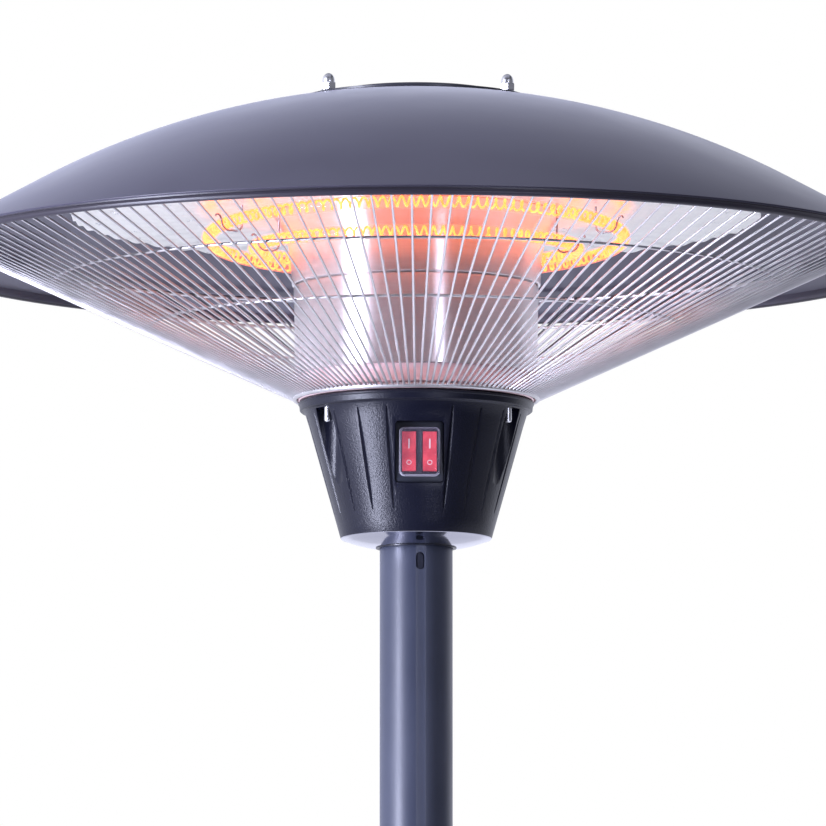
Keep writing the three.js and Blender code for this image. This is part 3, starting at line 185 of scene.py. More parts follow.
def polar(radius, azimuth, z=0.0):
    angle = math.radians(azimuth)
    return Vector((radius * math.sin(angle), -radius * math.cos(angle), z))


def lathe(profile, segments, closed=True):
    """Verts and faces of (radius, height) pairs turned about Z. A radius of 0 is a point on the axis."""
    verts, faces, rings = [], [], []
    for radius, z in profile:
        if radius == 0:
            rings.append([len(verts)])
            verts.append(Vector((0, 0, z)))
        else:
            rings.append(range(len(verts), len(verts) + segments))
            verts += [polar(radius, 360 * i / segments, z) for i in range(segments)]
    pairs = list(zip(rings, rings[1:]))
    if closed:
        pairs.append((rings[-1], rings[0]))
    for low, high in pairs:
        for i in range(segments):
            j = (i + 1) % segments
            corners = [low[i % len(low)], low[j % len(low)], high[j % len(high)], high[i % len(high)]]
            corners = list(dict.fromkeys(corners))
            if len(corners) > 2:
                faces.append(corners)
    return verts, faces


def wire(points, radius, sides):
    """A round wire along a line of points."""
    points = [Vector(p) for p in points]
    count = len(points)
    verts, faces = [], []
    normal = None
    for i, point in enumerate(points):
        before = points[max(i - 1, 0)]
        after = points[min(i + 1, count - 1)]
        tangent = (after - before).normalized()
        if normal is None:
            normal = tangent.orthogonal()
        normal = (normal - tangent * normal.dot(tangent)).normalized()
        side = tangent.cross(normal)
        for k in range(sides):
            angle = 2 * math.pi * k / sides
            verts.append(point + normal * (radius * math.cos(angle)) + side * (radius * math.sin(angle)))
    for i in range(count - 1):
        here, there = i * sides, (i + 1) * sides
        for k in range(sides):
            m = (k + 1) % sides
            faces.append([here + k, here + m, there + m, there + k])
    faces.append(list(range(sides)))
    faces.append(list(range((count - 1) * sides, count * sides))[::-1])
    return verts, faces


def hoop(radius, z, wire_radius, segments=240, sides=12):
    """A ring of round wire. It is turned, so that its section doesn't twist where it closes."""
    angles = [2 * math.pi * k / sides for k in range(sides)]
    section = [(radius + wire_radius * math.cos(a), z + wire_radius * math.sin(a)) for a in angles]
    return lathe(section, segments)


def prism(outline, front, back):
    """An outline of (x, z) pairs, with its depth along Y."""
    count = len(outline)
    verts = [Vector((x, y, z)) for y in (front, back) for x, z in outline]
    faces = [list(range(count)), list(range(count, 2 * count))[::-1]]
    faces += [[i, i + count, (i + 1) % count + count, (i + 1) % count] for i in range(count)]
    return verts, faces


def rounded(width, height, radius, steps=8):
    """A rectangle of (x, z) pairs with round corners."""
    points = []
    for sx, sz, start in ((1, 1, 0), (-1, 1, 90), (-1, -1, 180), (1, -1, 270)):
        for i in range(steps + 1):
            angle = math.radians(start + 90 * i / steps)
            points.append((
                sx * (width / 2 - radius) + radius * math.cos(angle),
                sz * (height / 2 - radius) + radius * math.sin(angle),
            ))
    return points


def moved(part, offset=(0, 0, 0), azimuth=0.0, matrix=None):
    """A part carried round the axis from the front to an azimuth, after an optional matrix and offset."""
    verts, faces = part
    turn = Matrix.Rotation(math.radians(azimuth), 4, "Z")
    shift = Matrix.Translation(Vector(offset))
    whole = turn @ shift @ (matrix or Matrix.Identity(4))
    return [whole @ v for v in verts], faces


def merged(parts):
    verts, faces = [], []
    for part_verts, part_faces in parts:
        start = len(verts)
        verts += part_verts
        faces += [[start + i for i in face] for face in part_faces]
    return verts, faces


def mesh_from(name, part, base):
    verts, faces = part
    mesh = bpy.data.meshes.new(name)
    mesh.from_pydata([(v.x * MM, v.y * MM, (v.z + base) * MM) for v in verts], [], faces)
    bm = bmesh.new()
    bm.from_mesh(mesh)
    bmesh.ops.recalc_face_normals(bm, faces=bm.faces)
    bm.to_mesh(mesh)
    bm.free()
    return mesh


def shade_smooth(mesh, sharp_angle):
    """Smooth shading, with edges sharper than the angle kept crisp."""
    bm = bmesh.new()
    bm.from_mesh(mesh)
    limit = math.radians(sharp_angle)
    for face in bm.faces:
        face.smooth = True
    for edge in bm.edges:
        edge.smooth = len(edge.link_faces) == 2 and edge.calc_face_angle(0) < limit
    bm.to_mesh(mesh)
    bm.free()


def piece(name, part, material, body, nodes, base=None, sharp=32, extras=()):
    """A finished piece that rides on a body and stands for CAD nodes.

    Extras are (part, material) pairs that belong to the same piece.
    """
    base = RIM if base is None else base
    whole = merged([part] + [extra for extra, _ in extras])
    mesh = mesh_from(name, whole, base)
    shade_smooth(mesh, sharp)
    mesh.materials.append(material)
    start = len(part[1])
    for slot, (extra, extra_material) in enumerate(extras, start=1):
        mesh.materials.append(extra_material)
        for polygon in mesh.polygons[start:start + len(extra[1])]:
            polygon.material_index = slot
        start += len(extra[1])
    made = bpy.data.objects.new(name, mesh)
    bpy.context.collection.objects.link(made)
    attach(made, body)
    if nodes:
        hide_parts(*nodes)
    return made


def carved(part, cutters, base=None, bevel=0.0):
    """A part with cutters taken out and its edges softened, as verts and faces again."""
    base = RIM if base is None else base
    body = bpy.data.objects.new("carved", mesh_from("carved", part, base))
    tool = bpy.data.objects.new("cutter", mesh_from("cutter", merged(cutters), base))
    for each in (body, tool):
        bpy.context.collection.objects.link(each)
    cut = body.modifiers.new("cut", "BOOLEAN")
    cut.object = tool
    cut.operation = "DIFFERENCE"
    cut.solver = "EXACT"
    cut.use_self = True
    if bevel:
        soften = body.modifiers.new("soften", "BEVEL")
        soften.width = bevel * MM
        soften.segments = 2
        soften.limit_method = "ANGLE"
        soften.angle_limit = math.radians(35)
    bpy.context.view_layer.update()
    evaluated = body.evaluated_get(bpy.context.evaluated_depsgraph_get())
    mesh = evaluated.to_mesh()
    verts = [Vector((v.co.x / MM, v.co.y / MM, v.co.z / MM - base)) for v in mesh.vertices]
    faces = [list(p.vertices) for p in mesh.polygons]
    evaluated.to_mesh_clear()
    for each in (body, tool):
        bpy.data.objects.remove(each)
    return verts, faces


# ---------------------------------------------------------------- materials


def new_material(name):
    material = bpy.data.materials.new(name)
    material.use_nodes = True
    tree = material.node_tree
    return material, tree, tree.nodes["Principled BSDF"]


def noise(tree, scale, detail=3.0, roughness=0.5, stretch=(1, 1, 1)):
    """Noise on the object's own coordinates. A stretch over 1 packs it closer along that axis."""
    coords = tree.nodes.new("ShaderNodeTexCoord")
    mapping = tree.nodes.new("ShaderNodeMapping")
    mapping.inputs["Scale"].default_value = stretch
    texture = tree.nodes.new("ShaderNodeTexNoise")
    texture.inputs["Scale"].default_value = scale
    texture.inputs["Detail"].default_value = detail
    texture.inputs["Roughness"].default_value = roughness
    tree.links.new(coords.outputs["Object"], mapping.inputs["Vector"])
    tree.links.new(mapping.outputs["Vector"], texture.inputs["Vector"])
    return texture.outputs["Fac"]


def between(tree, factor, low, high):
    """A number that follows a factor from one value to another."""
    span = tree.nodes.new("ShaderNodeMapRange")
    span.inputs["From Min"].default_value = 0.3
    span.inputs["From Max"].default_value = 0.7
    span.inputs["To Min"].default_value = low
    span.inputs["To Max"].default_value = high
    tree.links.new(factor, span.inputs["Value"])
    return span.outputs["Result"]


def tinted(tree, factor, low, high):
    """A colour that follows a factor from one colour to another."""
    ramp = tree.nodes.new("ShaderNodeValToRGB")
    ramp.color_ramp.elements[0].position = 0.3
    ramp.color_ramp.elements[0].color = (*low, 1)
    ramp.color_ramp.elements[1].position = 0.7
    ramp.color_ramp.elements[1].color = (*high, 1)
    tree.links.new(factor, ramp.inputs["Fac"])
    return ramp.outputs["Color"]


def bumped(tree, shader, height, strength, distance):
    bump = tree.nodes.new("ShaderNodeBump")
    bump.inputs["Strength"].default_value = strength
    bump.inputs["Distance"].default_value = distance * MM
    tree.links.new(height, bump.inputs["Height"])
    tree.links.new(bump.outputs["Normal"], shader.inputs["Normal"])


def coated(name, low, high, roughness, grain, bump, metallic=0.0, sheen=0.0, depth=0.05, specular=0.5):
    """Powder coat or moulded plastic: a faint mottle, a fine grain and uneven gloss."""
    material, tree, shader = new_material(name)
    mottle = noise(tree, 14, 4)
    tree.links.new(tinted(tree, mottle, low, high), shader.inputs["Base Color"])
    tree.links.new(between(tree, mottle, roughness - 0.04, roughness + 0.04), shader.inputs["Roughness"])
    shader.inputs["Metallic"].default_value = metallic
    shader.inputs["Specular IOR Level"].default_value = specular
    shader.inputs["Sheen Weight"].default_value = sheen
    shader.inputs["Sheen Roughness"].default_value = 0.35
    shader.inputs["Sheen Tint"].default_value = (0.78, 0.8, 1.0, 1)
    bumped(tree, shader, noise(tree, grain, 2), bump, depth)
    return material


def metal(name, low, high, roughness, bump=0.1):
    """Polished or plated metal with faint marks."""
    material, tree, shader = new_material(name)
    marks = noise(tree, 60, 4, 0.6)
    tree.links.new(tinted(tree, marks, low, high), shader.inputs["Base Color"])
    tree.links.new(between(tree, marks, roughness * 0.75, roughness * 1.3), shader.inputs["Roughness"])
    shader.inputs["Metallic"].default_value = 1.0
    bumped(tree, shader, marks, bump, 0.05)
    return material


def brushed(name, low, high, roughness):
    """Spun sheet: the fine lines run round the axis, so a reflection smears up and down."""
    material, tree, shader = new_material(name)
    lines = noise(tree, 40, 5, 0.6, (1, 1, 14))
    tree.links.new(tinted(tree, lines, low, high), shader.inputs["Base Color"])
    tree.links.new(between(tree, lines, roughness * 0.9, roughness * 1.12), shader.inputs["Roughness"])
    shader.inputs["Metallic"].default_value = 1.0
    shader.inputs["Anisotropic"].default_value = 0.95
    shader.inputs["Anisotropic Rotation"].default_value = 0.25
    tangent = tree.nodes.new("ShaderNodeTangent")
    tangent.direction_type = "RADIAL"
    tangent.axis = "Z"
    tree.links.new(tangent.outputs["Tangent"], shader.inputs["Tangent"])
    return material


def glowing_wire():
    """Resistance wire at orange heat, yellow where it is hottest."""
    material, tree, shader = new_material("glowing_wire")
    shader.inputs["Base Color"].default_value = (0.2, 0.05, 0.02, 1)
    heat = noise(tree, 260, 2)
    tree.links.new(tinted(tree, heat, (1.0, 0.13, 0.02), (1.0, 0.26, 0.05)), shader.inputs["Emission Color"])
    shader.inputs["Emission Strength"].default_value = 4.0
    return material


def clear_material(name, colour, alpha, edge_alpha, roughness, glow=(0, 0, 0), glow_strength=0.0):
    """Thin clear glass or plastic, denser where it is seen edge on. A glow is light that runs in it."""
    material, tree, shader = new_material(name)
    smear = noise(tree, 30, 3)
    tree.links.new(tinted(tree, smear, [c * 0.9 for c in colour], colour), shader.inputs["Base Color"])
    edge = tree.nodes.new("ShaderNodeLayerWeight")
    edge.inputs["Blend"].default_value = 0.35
    span = tree.nodes.new("ShaderNodeMapRange")
    span.inputs["To Min"].default_value = alpha
    span.inputs["To Max"].default_value = edge_alpha
    tree.links.new(edge.outputs["Facing"], span.inputs["Value"])
    tree.links.new(span.outputs["Result"], shader.inputs["Alpha"])
    shader.inputs["Roughness"].default_value = roughness
    shader.inputs["Emission Color"].default_value = (*glow, 1)
    shader.inputs["Emission Strength"].default_value = glow_strength
    return material


def lit_rocker():
    """Translucent red plastic with a lamp behind it, unevenly bright."""
    material, tree, shader = new_material("lit_rocker")
    cloud = noise(tree, 150, 2)
    tree.links.new(tinted(tree, cloud, (0.36, 0.02, 0.035), (0.6, 0.05, 0.07)), shader.inputs["Base Color"])
    tree.links.new(tinted(tree, cloud, (0.5, 0.02, 0.04), (1.0, 0.07, 0.1)), shader.inputs["Emission Color"])
    shader.inputs["Roughness"].default_value = 0.25
    shader.inputs["Emission Strength"].default_value = 0.3
    return material


SHADE_PAINT = coated("shade_paint", (0.056, 0.052, 0.074), (0.067, 0.063, 0.088), 0.32, 900, 0.25, sheen=0.25)
# The cap's paint is a darker copy of the shade's paint: painted shade for the cap's wall, which faces the
# dark front.
CAP_PAINT_PAINTED_SHADE = coated("cap_paint", (0.03, 0.03, 0.042), (0.038, 0.038, 0.052), 0.36, 900, 0.25)
POLE_PAINT = coated(
    "pole_paint", (0.024, 0.029, 0.052), (0.033, 0.039, 0.066), 0.4, 1100, 0.3, sheen=0.14, specular=0.6
)
COLLAR_PLASTIC = coated(
    "collar_plastic", (0.002, 0.0025, 0.01), (0.003, 0.004, 0.013), 0.36, 1000, 0.9, depth=0.2, specular=0.36
)
BELLY_METAL = coated("belly_metal", (0.5, 0.5, 0.58), (0.58, 0.58, 0.66), 0.14, 1300, 0.03, metallic=1.0)
BLACK_PLASTIC = coated("black_plastic", (0.005, 0.006, 0.012), (0.009, 0.01, 0.017), 0.34, 1300, 0.2)
RUBBER = coated("rubber", (0.012, 0.012, 0.012), (0.02, 0.02, 0.02), 0.75, 700, 0.5)
IRON = coated("iron", (0.025, 0.025, 0.027), (0.05, 0.05, 0.052), 0.62, 380, 0.7, metallic=0.6)
CERAMIC = coated("ceramic", (0.68, 0.64, 0.56), (0.78, 0.75, 0.68), 0.6, 700, 0.3)
MARKS = coated("rocker_marks", (0.75, 0.55, 0.55), (0.85, 0.65, 0.65), 0.4, 700, 0.1)
REFLECTOR_METAL = metal("reflector_metal", (0.96, 0.96, 0.92), (0.99, 0.99, 0.95), 0.33, bump=0.02)
# The drum's faint pink tint is a painted reflection of the lamps' red glow.
DRUM_METAL_PAINTED_GLOW = brushed("drum_metal_painted_glow", (0.94, 0.88, 0.9), (0.99, 0.93, 0.95), 0.32)
# The pan's pink tint is a painted reflection of the lamps' red glow.
PAN_METAL_PAINTED_GLOW = metal("pan_metal_painted_glow", (0.98, 0.74, 0.76), (1.0, 0.8, 0.82), 0.55, bump=0.02)
WIRE_METAL = metal("wire_metal", (0.56, 0.545, 0.56), (0.64, 0.625, 0.64), 0.38, bump=0.03)
CLIP_METAL = metal("clip_metal", (0.3, 0.3, 0.34), (0.42, 0.42, 0.46), 0.4)
NUT_METAL = metal("nut_metal", (0.66, 0.66, 0.68), (0.78, 0.78, 0.8), 0.28)
ZINC = metal("zinc", (0.5, 0.51, 0.54), (0.66, 0.67, 0.7), 0.34)
SPIGOT_METAL = metal("spigot_metal", (0.03, 0.032, 0.045), (0.05, 0.052, 0.07), 0.5)
GLOWING_WIRE = glowing_wire()
QUARTZ = clear_material("quartz", (0.35, 0.12, 0.06), 0.14, 0.28, 0.08, (1.0, 0.2, 0.09), 2.1)
CLEAR_PLASTIC = clear_material("clear_plastic", (0.35, 0.32, 0.42), 0.05, 0.4, 0.06)
COVER_RIM = clear_material("cover_rim", (0.7, 0.68, 0.78), 0.5, 0.75, 0.12)
SWITCH_PLASTIC = coated("switch_plastic", (0.014, 0.016, 0.026), (0.02, 0.023, 0.034), 0.4, 1300, 0.2)
# Near-black paint on the hem's bead: painted shade under the rolled edge.
HEM_PAINTED_SHADE = coated("hem_painted_shade", (0.018, 0.015, 0.024), (0.025, 0.021, 0.032), 0.35, 900, 0.1)
LIT_ROCKER = lit_rocker()

# ---------------------------------------------------------------- camera, light and floor

VIEW_DISTANCE = 6500
VIEW_AZIMUTH = math.radians(2)
VIEW_ELEVATION = math.radians(6.75)
VIEW_CENTRE = Vector((-1.9, 0, RIM - 90))
LIGHT_COLOUR = (0.76, 0.79, 1.0)
LIGHT_TARGET_HEIGHT = 1.95  # metres
STUDIO_COLOUR = (0.84, 0.86, 1.0, 1)
FLOOR_REACH = 6.0  # metres


def make_camera():
    data = bpy.data.cameras.new("photo_camera")
    data.lens = 475
    data.sensor_width = 36
    data.clip_end = 100
    camera = bpy.data.objects.new("photo_camera", data)
    bpy.context.collection.objects.link(camera)
    back = Vector((
        -math.sin(VIEW_AZIMUTH) * math.cos(VIEW_ELEVATION),
        -math.cos(VIEW_AZIMUTH) * math.cos(VIEW_ELEVATION),
        -math.sin(VIEW_ELEVATION),
    ))
    camera.location = (VIEW_CENTRE + back * VIEW_DISTANCE) * MM
    camera.rotation_euler = (-back).to_track_quat("-Z", "Y").to_euler()
    bpy.context.scene.camera = camera


def soft_light(name, azimuth, elevation, distance, size, power):
    """A rectangular studio light that faces the head. Its distance and size are in metres."""
    data = bpy.data.lights.new(name, "AREA")
    data.shape = "RECTANGLE"
    data.size, data.size_y = size
    data.energy = power
    data.color = LIGHT_COLOUR
    light = bpy.data.objects.new(name, data)
    bpy.context.collection.objects.link(light)
    target = Vector((0, 0, LIGHT_TARGET_HEIGHT))
    rise = math.radians(elevation)
    away = polar(math.cos(rise), azimuth, math.sin(rise))
    light.location = target + away * distance
    light.rotation_euler = (-away).to_track_quat("-Z", "Y").to_euler()


def ranged(tree, value, low, high, at_low, at_high):
    """A smooth step from one number to another as a value goes from low to high."""
    span = tree.nodes.new("ShaderNodeMapRange")
    span.interpolation_type = "SMOOTHSTEP"
    span.inputs["From Min"].default_value = low
    span.inputs["From Max"].default_value = high
    span.inputs["To Min"].default_value = at_low
    span.inputs["To Max"].default_value = at_high
    tree.links.new(value, span.inputs["Value"])
    return span.outputs["Result"]


def computed(tree, operation, first, second):
    node = tree.nodes.new("ShaderNodeMath")
    node.operation = operation
    for socket, value in zip(node.inputs, (first, second)):
        if isinstance(value, (int, float)):
            socket.default_value = value
        else:
            tree.links.new(value, socket)
    return node.outputs["Value"]


def make_world():
    """White to the camera. Gloss sees a white studio wall behind the object and a dim room before it."""
    world = bpy.data.worlds.new("studio")
    bpy.context.scene.world = world
    world.use_nodes = True
    tree = world.node_tree
    background = tree.nodes["Background"]
    background.inputs["Color"].default_value = (0.82, 0.85, 1.0, 1)
    background.inputs["Strength"].default_value = 0.45

    coords = tree.nodes.new("ShaderNodeTexCoord")
    split = tree.nodes.new("ShaderNodeSeparateXYZ")
    tree.links.new(coords.outputs["Generated"], split.inputs["Vector"])
    # The wall wraps round the back and both sides, and stands higher on the left.
    left = computed(tree, "MULTIPLY", split.outputs["X"], -0.45)
    toward_wall = computed(tree, "ADD", computed(tree, "MULTIPLY", split.outputs["Y"], 0.9), left)
    room = ranged(tree, split.outputs["Z"], -0.25, 0.02, 0.02, 0.27)
    wall = computed(tree, "MAXIMUM", ranged(tree, toward_wall, -0.3, 0.3, 0.0, 1.2), room)
    fade = ranged(tree, split.outputs["Z"], 0.28, 0.85, 1.0, 0.12)
    side = ranged(tree, left, 0.05, 0.4, 0.0, 0.9)
    behind = computed(tree, "MULTIPLY", wall, computed(tree, "MAXIMUM", fade, side))
    ground = ranged(tree, split.outputs["Z"], -0.75, -0.45, 0.85, 0.0)
    strength = computed(tree, "MAXIMUM", behind, ground)
    studio = tree.nodes.new("ShaderNodeBackground")
    studio.inputs["Color"].default_value = STUDIO_COLOUR
    tree.links.new(strength, studio.inputs["Strength"])
    white = tree.nodes.new("ShaderNodeBackground")
    white.inputs["Color"].default_value = (1, 1, 1, 1)
    white.inputs["Strength"].default_value = 1.0

    rays = tree.nodes.new("ShaderNodeLightPath")
    gloss = tree.nodes.new("ShaderNodeMixShader")
    tree.links.new(rays.outputs["Is Glossy Ray"], gloss.inputs["Fac"])
    tree.links.new(background.outputs["Background"], gloss.inputs[1])
    tree.links.new(studio.outputs["Background"], gloss.inputs[2])
    seen = computed(tree, "MAXIMUM", rays.outputs["Is Camera Ray"], rays.outputs["Is Transmission Ray"])
    shown = tree.nodes.new("ShaderNodeMixShader")
    tree.links.new(seen, shown.inputs["Fac"])
    tree.links.new(gloss.outputs["Shader"], shown.inputs[1])
    tree.links.new(white.outputs["Background"], shown.inputs[2])
    tree.links.new(shown.outputs["Shader"], tree.nodes["World Output"].inputs["Surface"])


def make_floor():
    """A pale floor that shows white in gloss."""
    mesh = bpy.data.meshes.new("studio_floor")
    corners = [(x * FLOOR_REACH, y * FLOOR_REACH, 0) for x, y in ((-1, -1), (1, -1), (1, 1), (-1, 1))]
    mesh.from_pydata(corners, [], [[0, 1, 2, 3]])
    material, tree, shader = new_material("studio_floor")
    pale = tinted(tree, noise(tree, 1.5), (0.8, 0.8, 0.81), (0.84, 0.84, 0.85))
    tree.links.new(pale, shader.inputs["Base Color"])
    shader.inputs["Roughness"].default_value = 0.7
    glow = tree.nodes.new("ShaderNodeEmission")
    glow.inputs["Color"].default_value = STUDIO_COLOUR
    place = tree.nodes.new("ShaderNodeSeparateXYZ")
    tree.links.new(tree.nodes.new("ShaderNodeTexCoord").outputs["Object"], place.inputs["Vector"])
    tree.links.new(ranged(tree, place.outputs["Y"], -1.6, -0.4, 0.04, 0.9), glow.inputs["Strength"])
    rays = tree.nodes.new("ShaderNodeLightPath")
    mix = tree.nodes.new("ShaderNodeMixShader")
    tree.links.new(rays.outputs["Is Glossy Ray"], mix.inputs["Fac"])
    tree.links.new(shader.outputs["BSDF"], mix.inputs[1])
    tree.links.new(glow.outputs["Emission"], mix.inputs[2])
    tree.links.new(mix.outputs["Shader"], tree.nodes["Material Output"].inputs["Surface"])
    mesh.materials.append(material)
    floor = bpy.data.objects.new("studio_floor", mesh)
    bpy.context.collection.objects.link(floor)


make_camera()
make_world()
make_floor()
bpy.context.scene.view_settings.view_transform = "Standard"
soft_light("key_left", -61, -8, 2.6, (0.56, 3.0), 215)
soft_light("fill_right", 20, 0, 3.0, (0.24, 2.4), 20)
soft_light("overhead", 0, 84, 2.2, (2.6, 2.6), 10)
soft_light("rear_bounce", 180, -65, 1.9, (2.4, 1.0), 12)

# ---------------------------------------------------------------- shade and cap


def shade_height(radius):
    on_dome = max(CROWN_RADIUS, min(radius, SHOULDER_RADIUS))
    drop = math.sqrt(DOME_CURVE**2 - CROWN_RADIUS**2) - math.sqrt(DOME_CURVE**2 - on_dome**2)
    return CROWN_Z - drop - max(0, radius - SHOULDER_RADIUS) * SKIRT_SLOPE


def make_shade():
    skirt_end = SHOULDER_RADIUS + (shade_height(SHOULDER_RADIUS) - HEM_HEIGHT - 1.4) / SKIRT_SLOPE
    steps = [CROWN_RADIUS + (SHOULDER_RADIUS - CROWN_RADIUS) * i / 24 for i in range(25)]
    outer = [(CROWN_HOLE_RADIUS, CROWN_Z), (CROWN_RADIUS - 1, CROWN_Z)]
    outer += [(r, shade_height(r)) for r in steps]
    # The hem is a bead under a groove.
    edge = SHADE_RADIUS
    hem = [
        (skirt_end - 0.5, shade_height(skirt_end - 0.5)),
        (skirt_end + 0.1, shade_height(skirt_end) - 0.3),
        (skirt_end + 0.1, 5.9),
        (skirt_end - 0.5, 5.4),
        (edge - 2.6, 5.0),
        (edge - 2.6, 4.2),
        (edge - 1.5, 3.9),
        (edge - 0.5, 3.3),
        (edge, 2.2),
        (edge - 0.2, 1.2),
        (edge - 0.8, 0.4),
        (edge - 1.7, 0),
        (edge - 2.6, 0.3),
        (edge - 3.2, 1.2),
        (edge - 3.6, 3.2),
    ]
    under = [(r, shade_height(r) - SHADE_SHEET) for r in [skirt_end - 1] + steps[::-1]]
    under.append((CROWN_HOLE_RADIUS, CROWN_Z - SHADE_SHEET))
    part = lathe(outer + hem + under, 256)
    made = piece("shade", part, SHADE_PAINT, HEAD, ["shade_dome"])
    made.data.materials.append(HEM_PAINTED_SHADE)
    # The bead of the hem gets a darker paint: painted shade under the rolled edge.
    for polygon in made.data.polygons:
        x, y, z = polygon.center
        if z < (RIM + 4.6) * MM and math.hypot(x, y) > (edge - 3.3) * MM:
            polygon.material_index = 1


def make_cap():
    foot = CAP_STEP_RADIUS + 1.6
    flange = CROWN_Z
    top = flange + CAP_SHEET + GAP
    profile = [
        (0, CAP_STEP_Z + 0.7),
        (30, CAP_STEP_Z + 0.5),
        (CAP_STEP_RADIUS - 3, CAP_STEP_Z + 0.1),
        (CAP_STEP_RADIUS - 0.8, CAP_STEP_Z - 0.3),
        (CAP_STEP_RADIUS, CAP_STEP_Z - 1.0),
        (CAP_STEP_RADIUS + 0.5, top + 1.0),
        (foot, top + 0.1),
        (foot + 1.2, top),
        (CAP_RADIUS - 0.1, top),
        (CAP_RADIUS, top - 0.1),
        (CAP_RADIUS, flange),
        (foot, flange),
        (CAP_STEP_RADIUS - 1, CAP_STEP_Z - 1.6),
        (0, CAP_STEP_Z - 0.4),
    ]
    piece("cap", lathe(profile, 192, closed=False), CAP_PAINT_PAINTED_SHADE, HEAD, ["top_cap"])


def make_fixings():
    """Tie rods, washers and acorn nuts."""
    seat = CROWN_Z + GAP + CAP_SHEET + GAP
    washer_top = seat + WASHER_SHEET
    nut = washer_top + GAP
    bore, edge = WASHER_BORE, WASHER_RADIUS
    for i, azimuth in enumerate(ROD_AZIMUTHS, start=1):
        at = polar(ROD_CIRCLE, azimuth)
        washer = [(bore, seat), (edge, seat), (edge, washer_top - 0.2), (edge - 0.2, washer_top)]
        washer.append((bore, washer_top))
        piece(f"cap_washer_{i}_fine", moved(lathe(washer, 48), at), ZINC, HEAD, [f"cap_washer_{i}"])
        flats = [(0, nut), (4.2, nut), (NUT_RADIUS, nut + 0.5), (NUT_RADIUS, nut + NUT_HEIGHT - 0.5)]
        flats += [(4.2, nut + NUT_HEIGHT), (0, nut + NUT_HEIGHT)]
        dome = [(0, nut + 3), (NUT_DOME_RADIUS - 0.05, nut + 3), (NUT_DOME_RADIUS, nut + 5.6)]
        for angle in (0.3, 0.6, 0.9, 1.2, 1.4):
            dome.append((NUT_DOME_RADIUS * math.cos(angle), nut + 5.6 + 4.5 * math.sin(angle)))
        dome.append((0, nut + 10.1))
        nut_part = merged([lathe(flats, 6, False), lathe(dome, 40, False)])
        piece(f"acorn_nut_{i}_fine", moved(nut_part, at), NUT_METAL, HEAD, [f"acorn_nut_{i}"])
        low, high = COLLAR_LIP_Z - ROD_TAIL, nut + 3
        stem = [(0, low), (1.5, low + 0.1), (2.2, low + 0.7), (ROD_RADIUS, low + 1.6)]
        stem += [(ROD_RADIUS, high), (0, high)]
        piece(f"tie_rod_{i}_fine", moved(lathe(stem, 32, False), at), NUT_METAL, HEAD, [f"tie_rod_{i}"])
        sleeve = [(bore, SLEEVE_BOTTOM_Z), (edge, SLEEVE_BOTTOM_Z)]
        sleeve += [(edge, SLEEVE_TOP_Z), (bore, SLEEVE_TOP_Z)]
        piece(f"spacer_sleeve_{i}_fine", moved(lathe(sleeve, 32), at), ZINC, HEAD, [f"spacer_sleeve_{i}"])


# ---------------------------------------------------------------- reflector and drum


def make_reflector():
    """A sheet whose brim is folded into radial pleats."""
    per_pleat = 8
    columns = PLEATS * per_pleat
    hub = REFLECTOR_HUB_RADIUS
    steps = [REFLECTOR_HOLE_RADIUS, hub, hub + 6, 130, 168, REFLECTOR_RADIUS]
    count = len(steps)
    verts, faces = [], []
    for side in (0, REFLECTOR_SHEET):
        for i in range(columns):
            for radius in steps:
                out = max(0, (radius - steps[2]) / (REFLECTOR_RADIUS - steps[2]))
                fold = -PLEAT_DEPTH / 2 * math.cos(2 * math.pi * i / per_pleat) * out
                z = REFLECTOR_HUB_Z + (REFLECTOR_RIM_Z - REFLECTOR_HUB_Z) * out + fold + side
                verts.append(polar(radius, 360 * i / columns, z))
    high = columns * count
    for i in range(columns):
        left, right = i * count, (i + 1) % columns * count
        for start in (0, high):
            for k in range(count - 1):
                a, b = start + left + k, start + right + k
                faces.append([a, b, b + 1, a + 1])
        for k in (0, count - 1):
            faces.append([left + k, right + k, high + right + k, high + left + k])
    piece("pleated_reflector", (verts, faces), REFLECTOR_METAL, HEAD, ["reflector"], sharp=50)


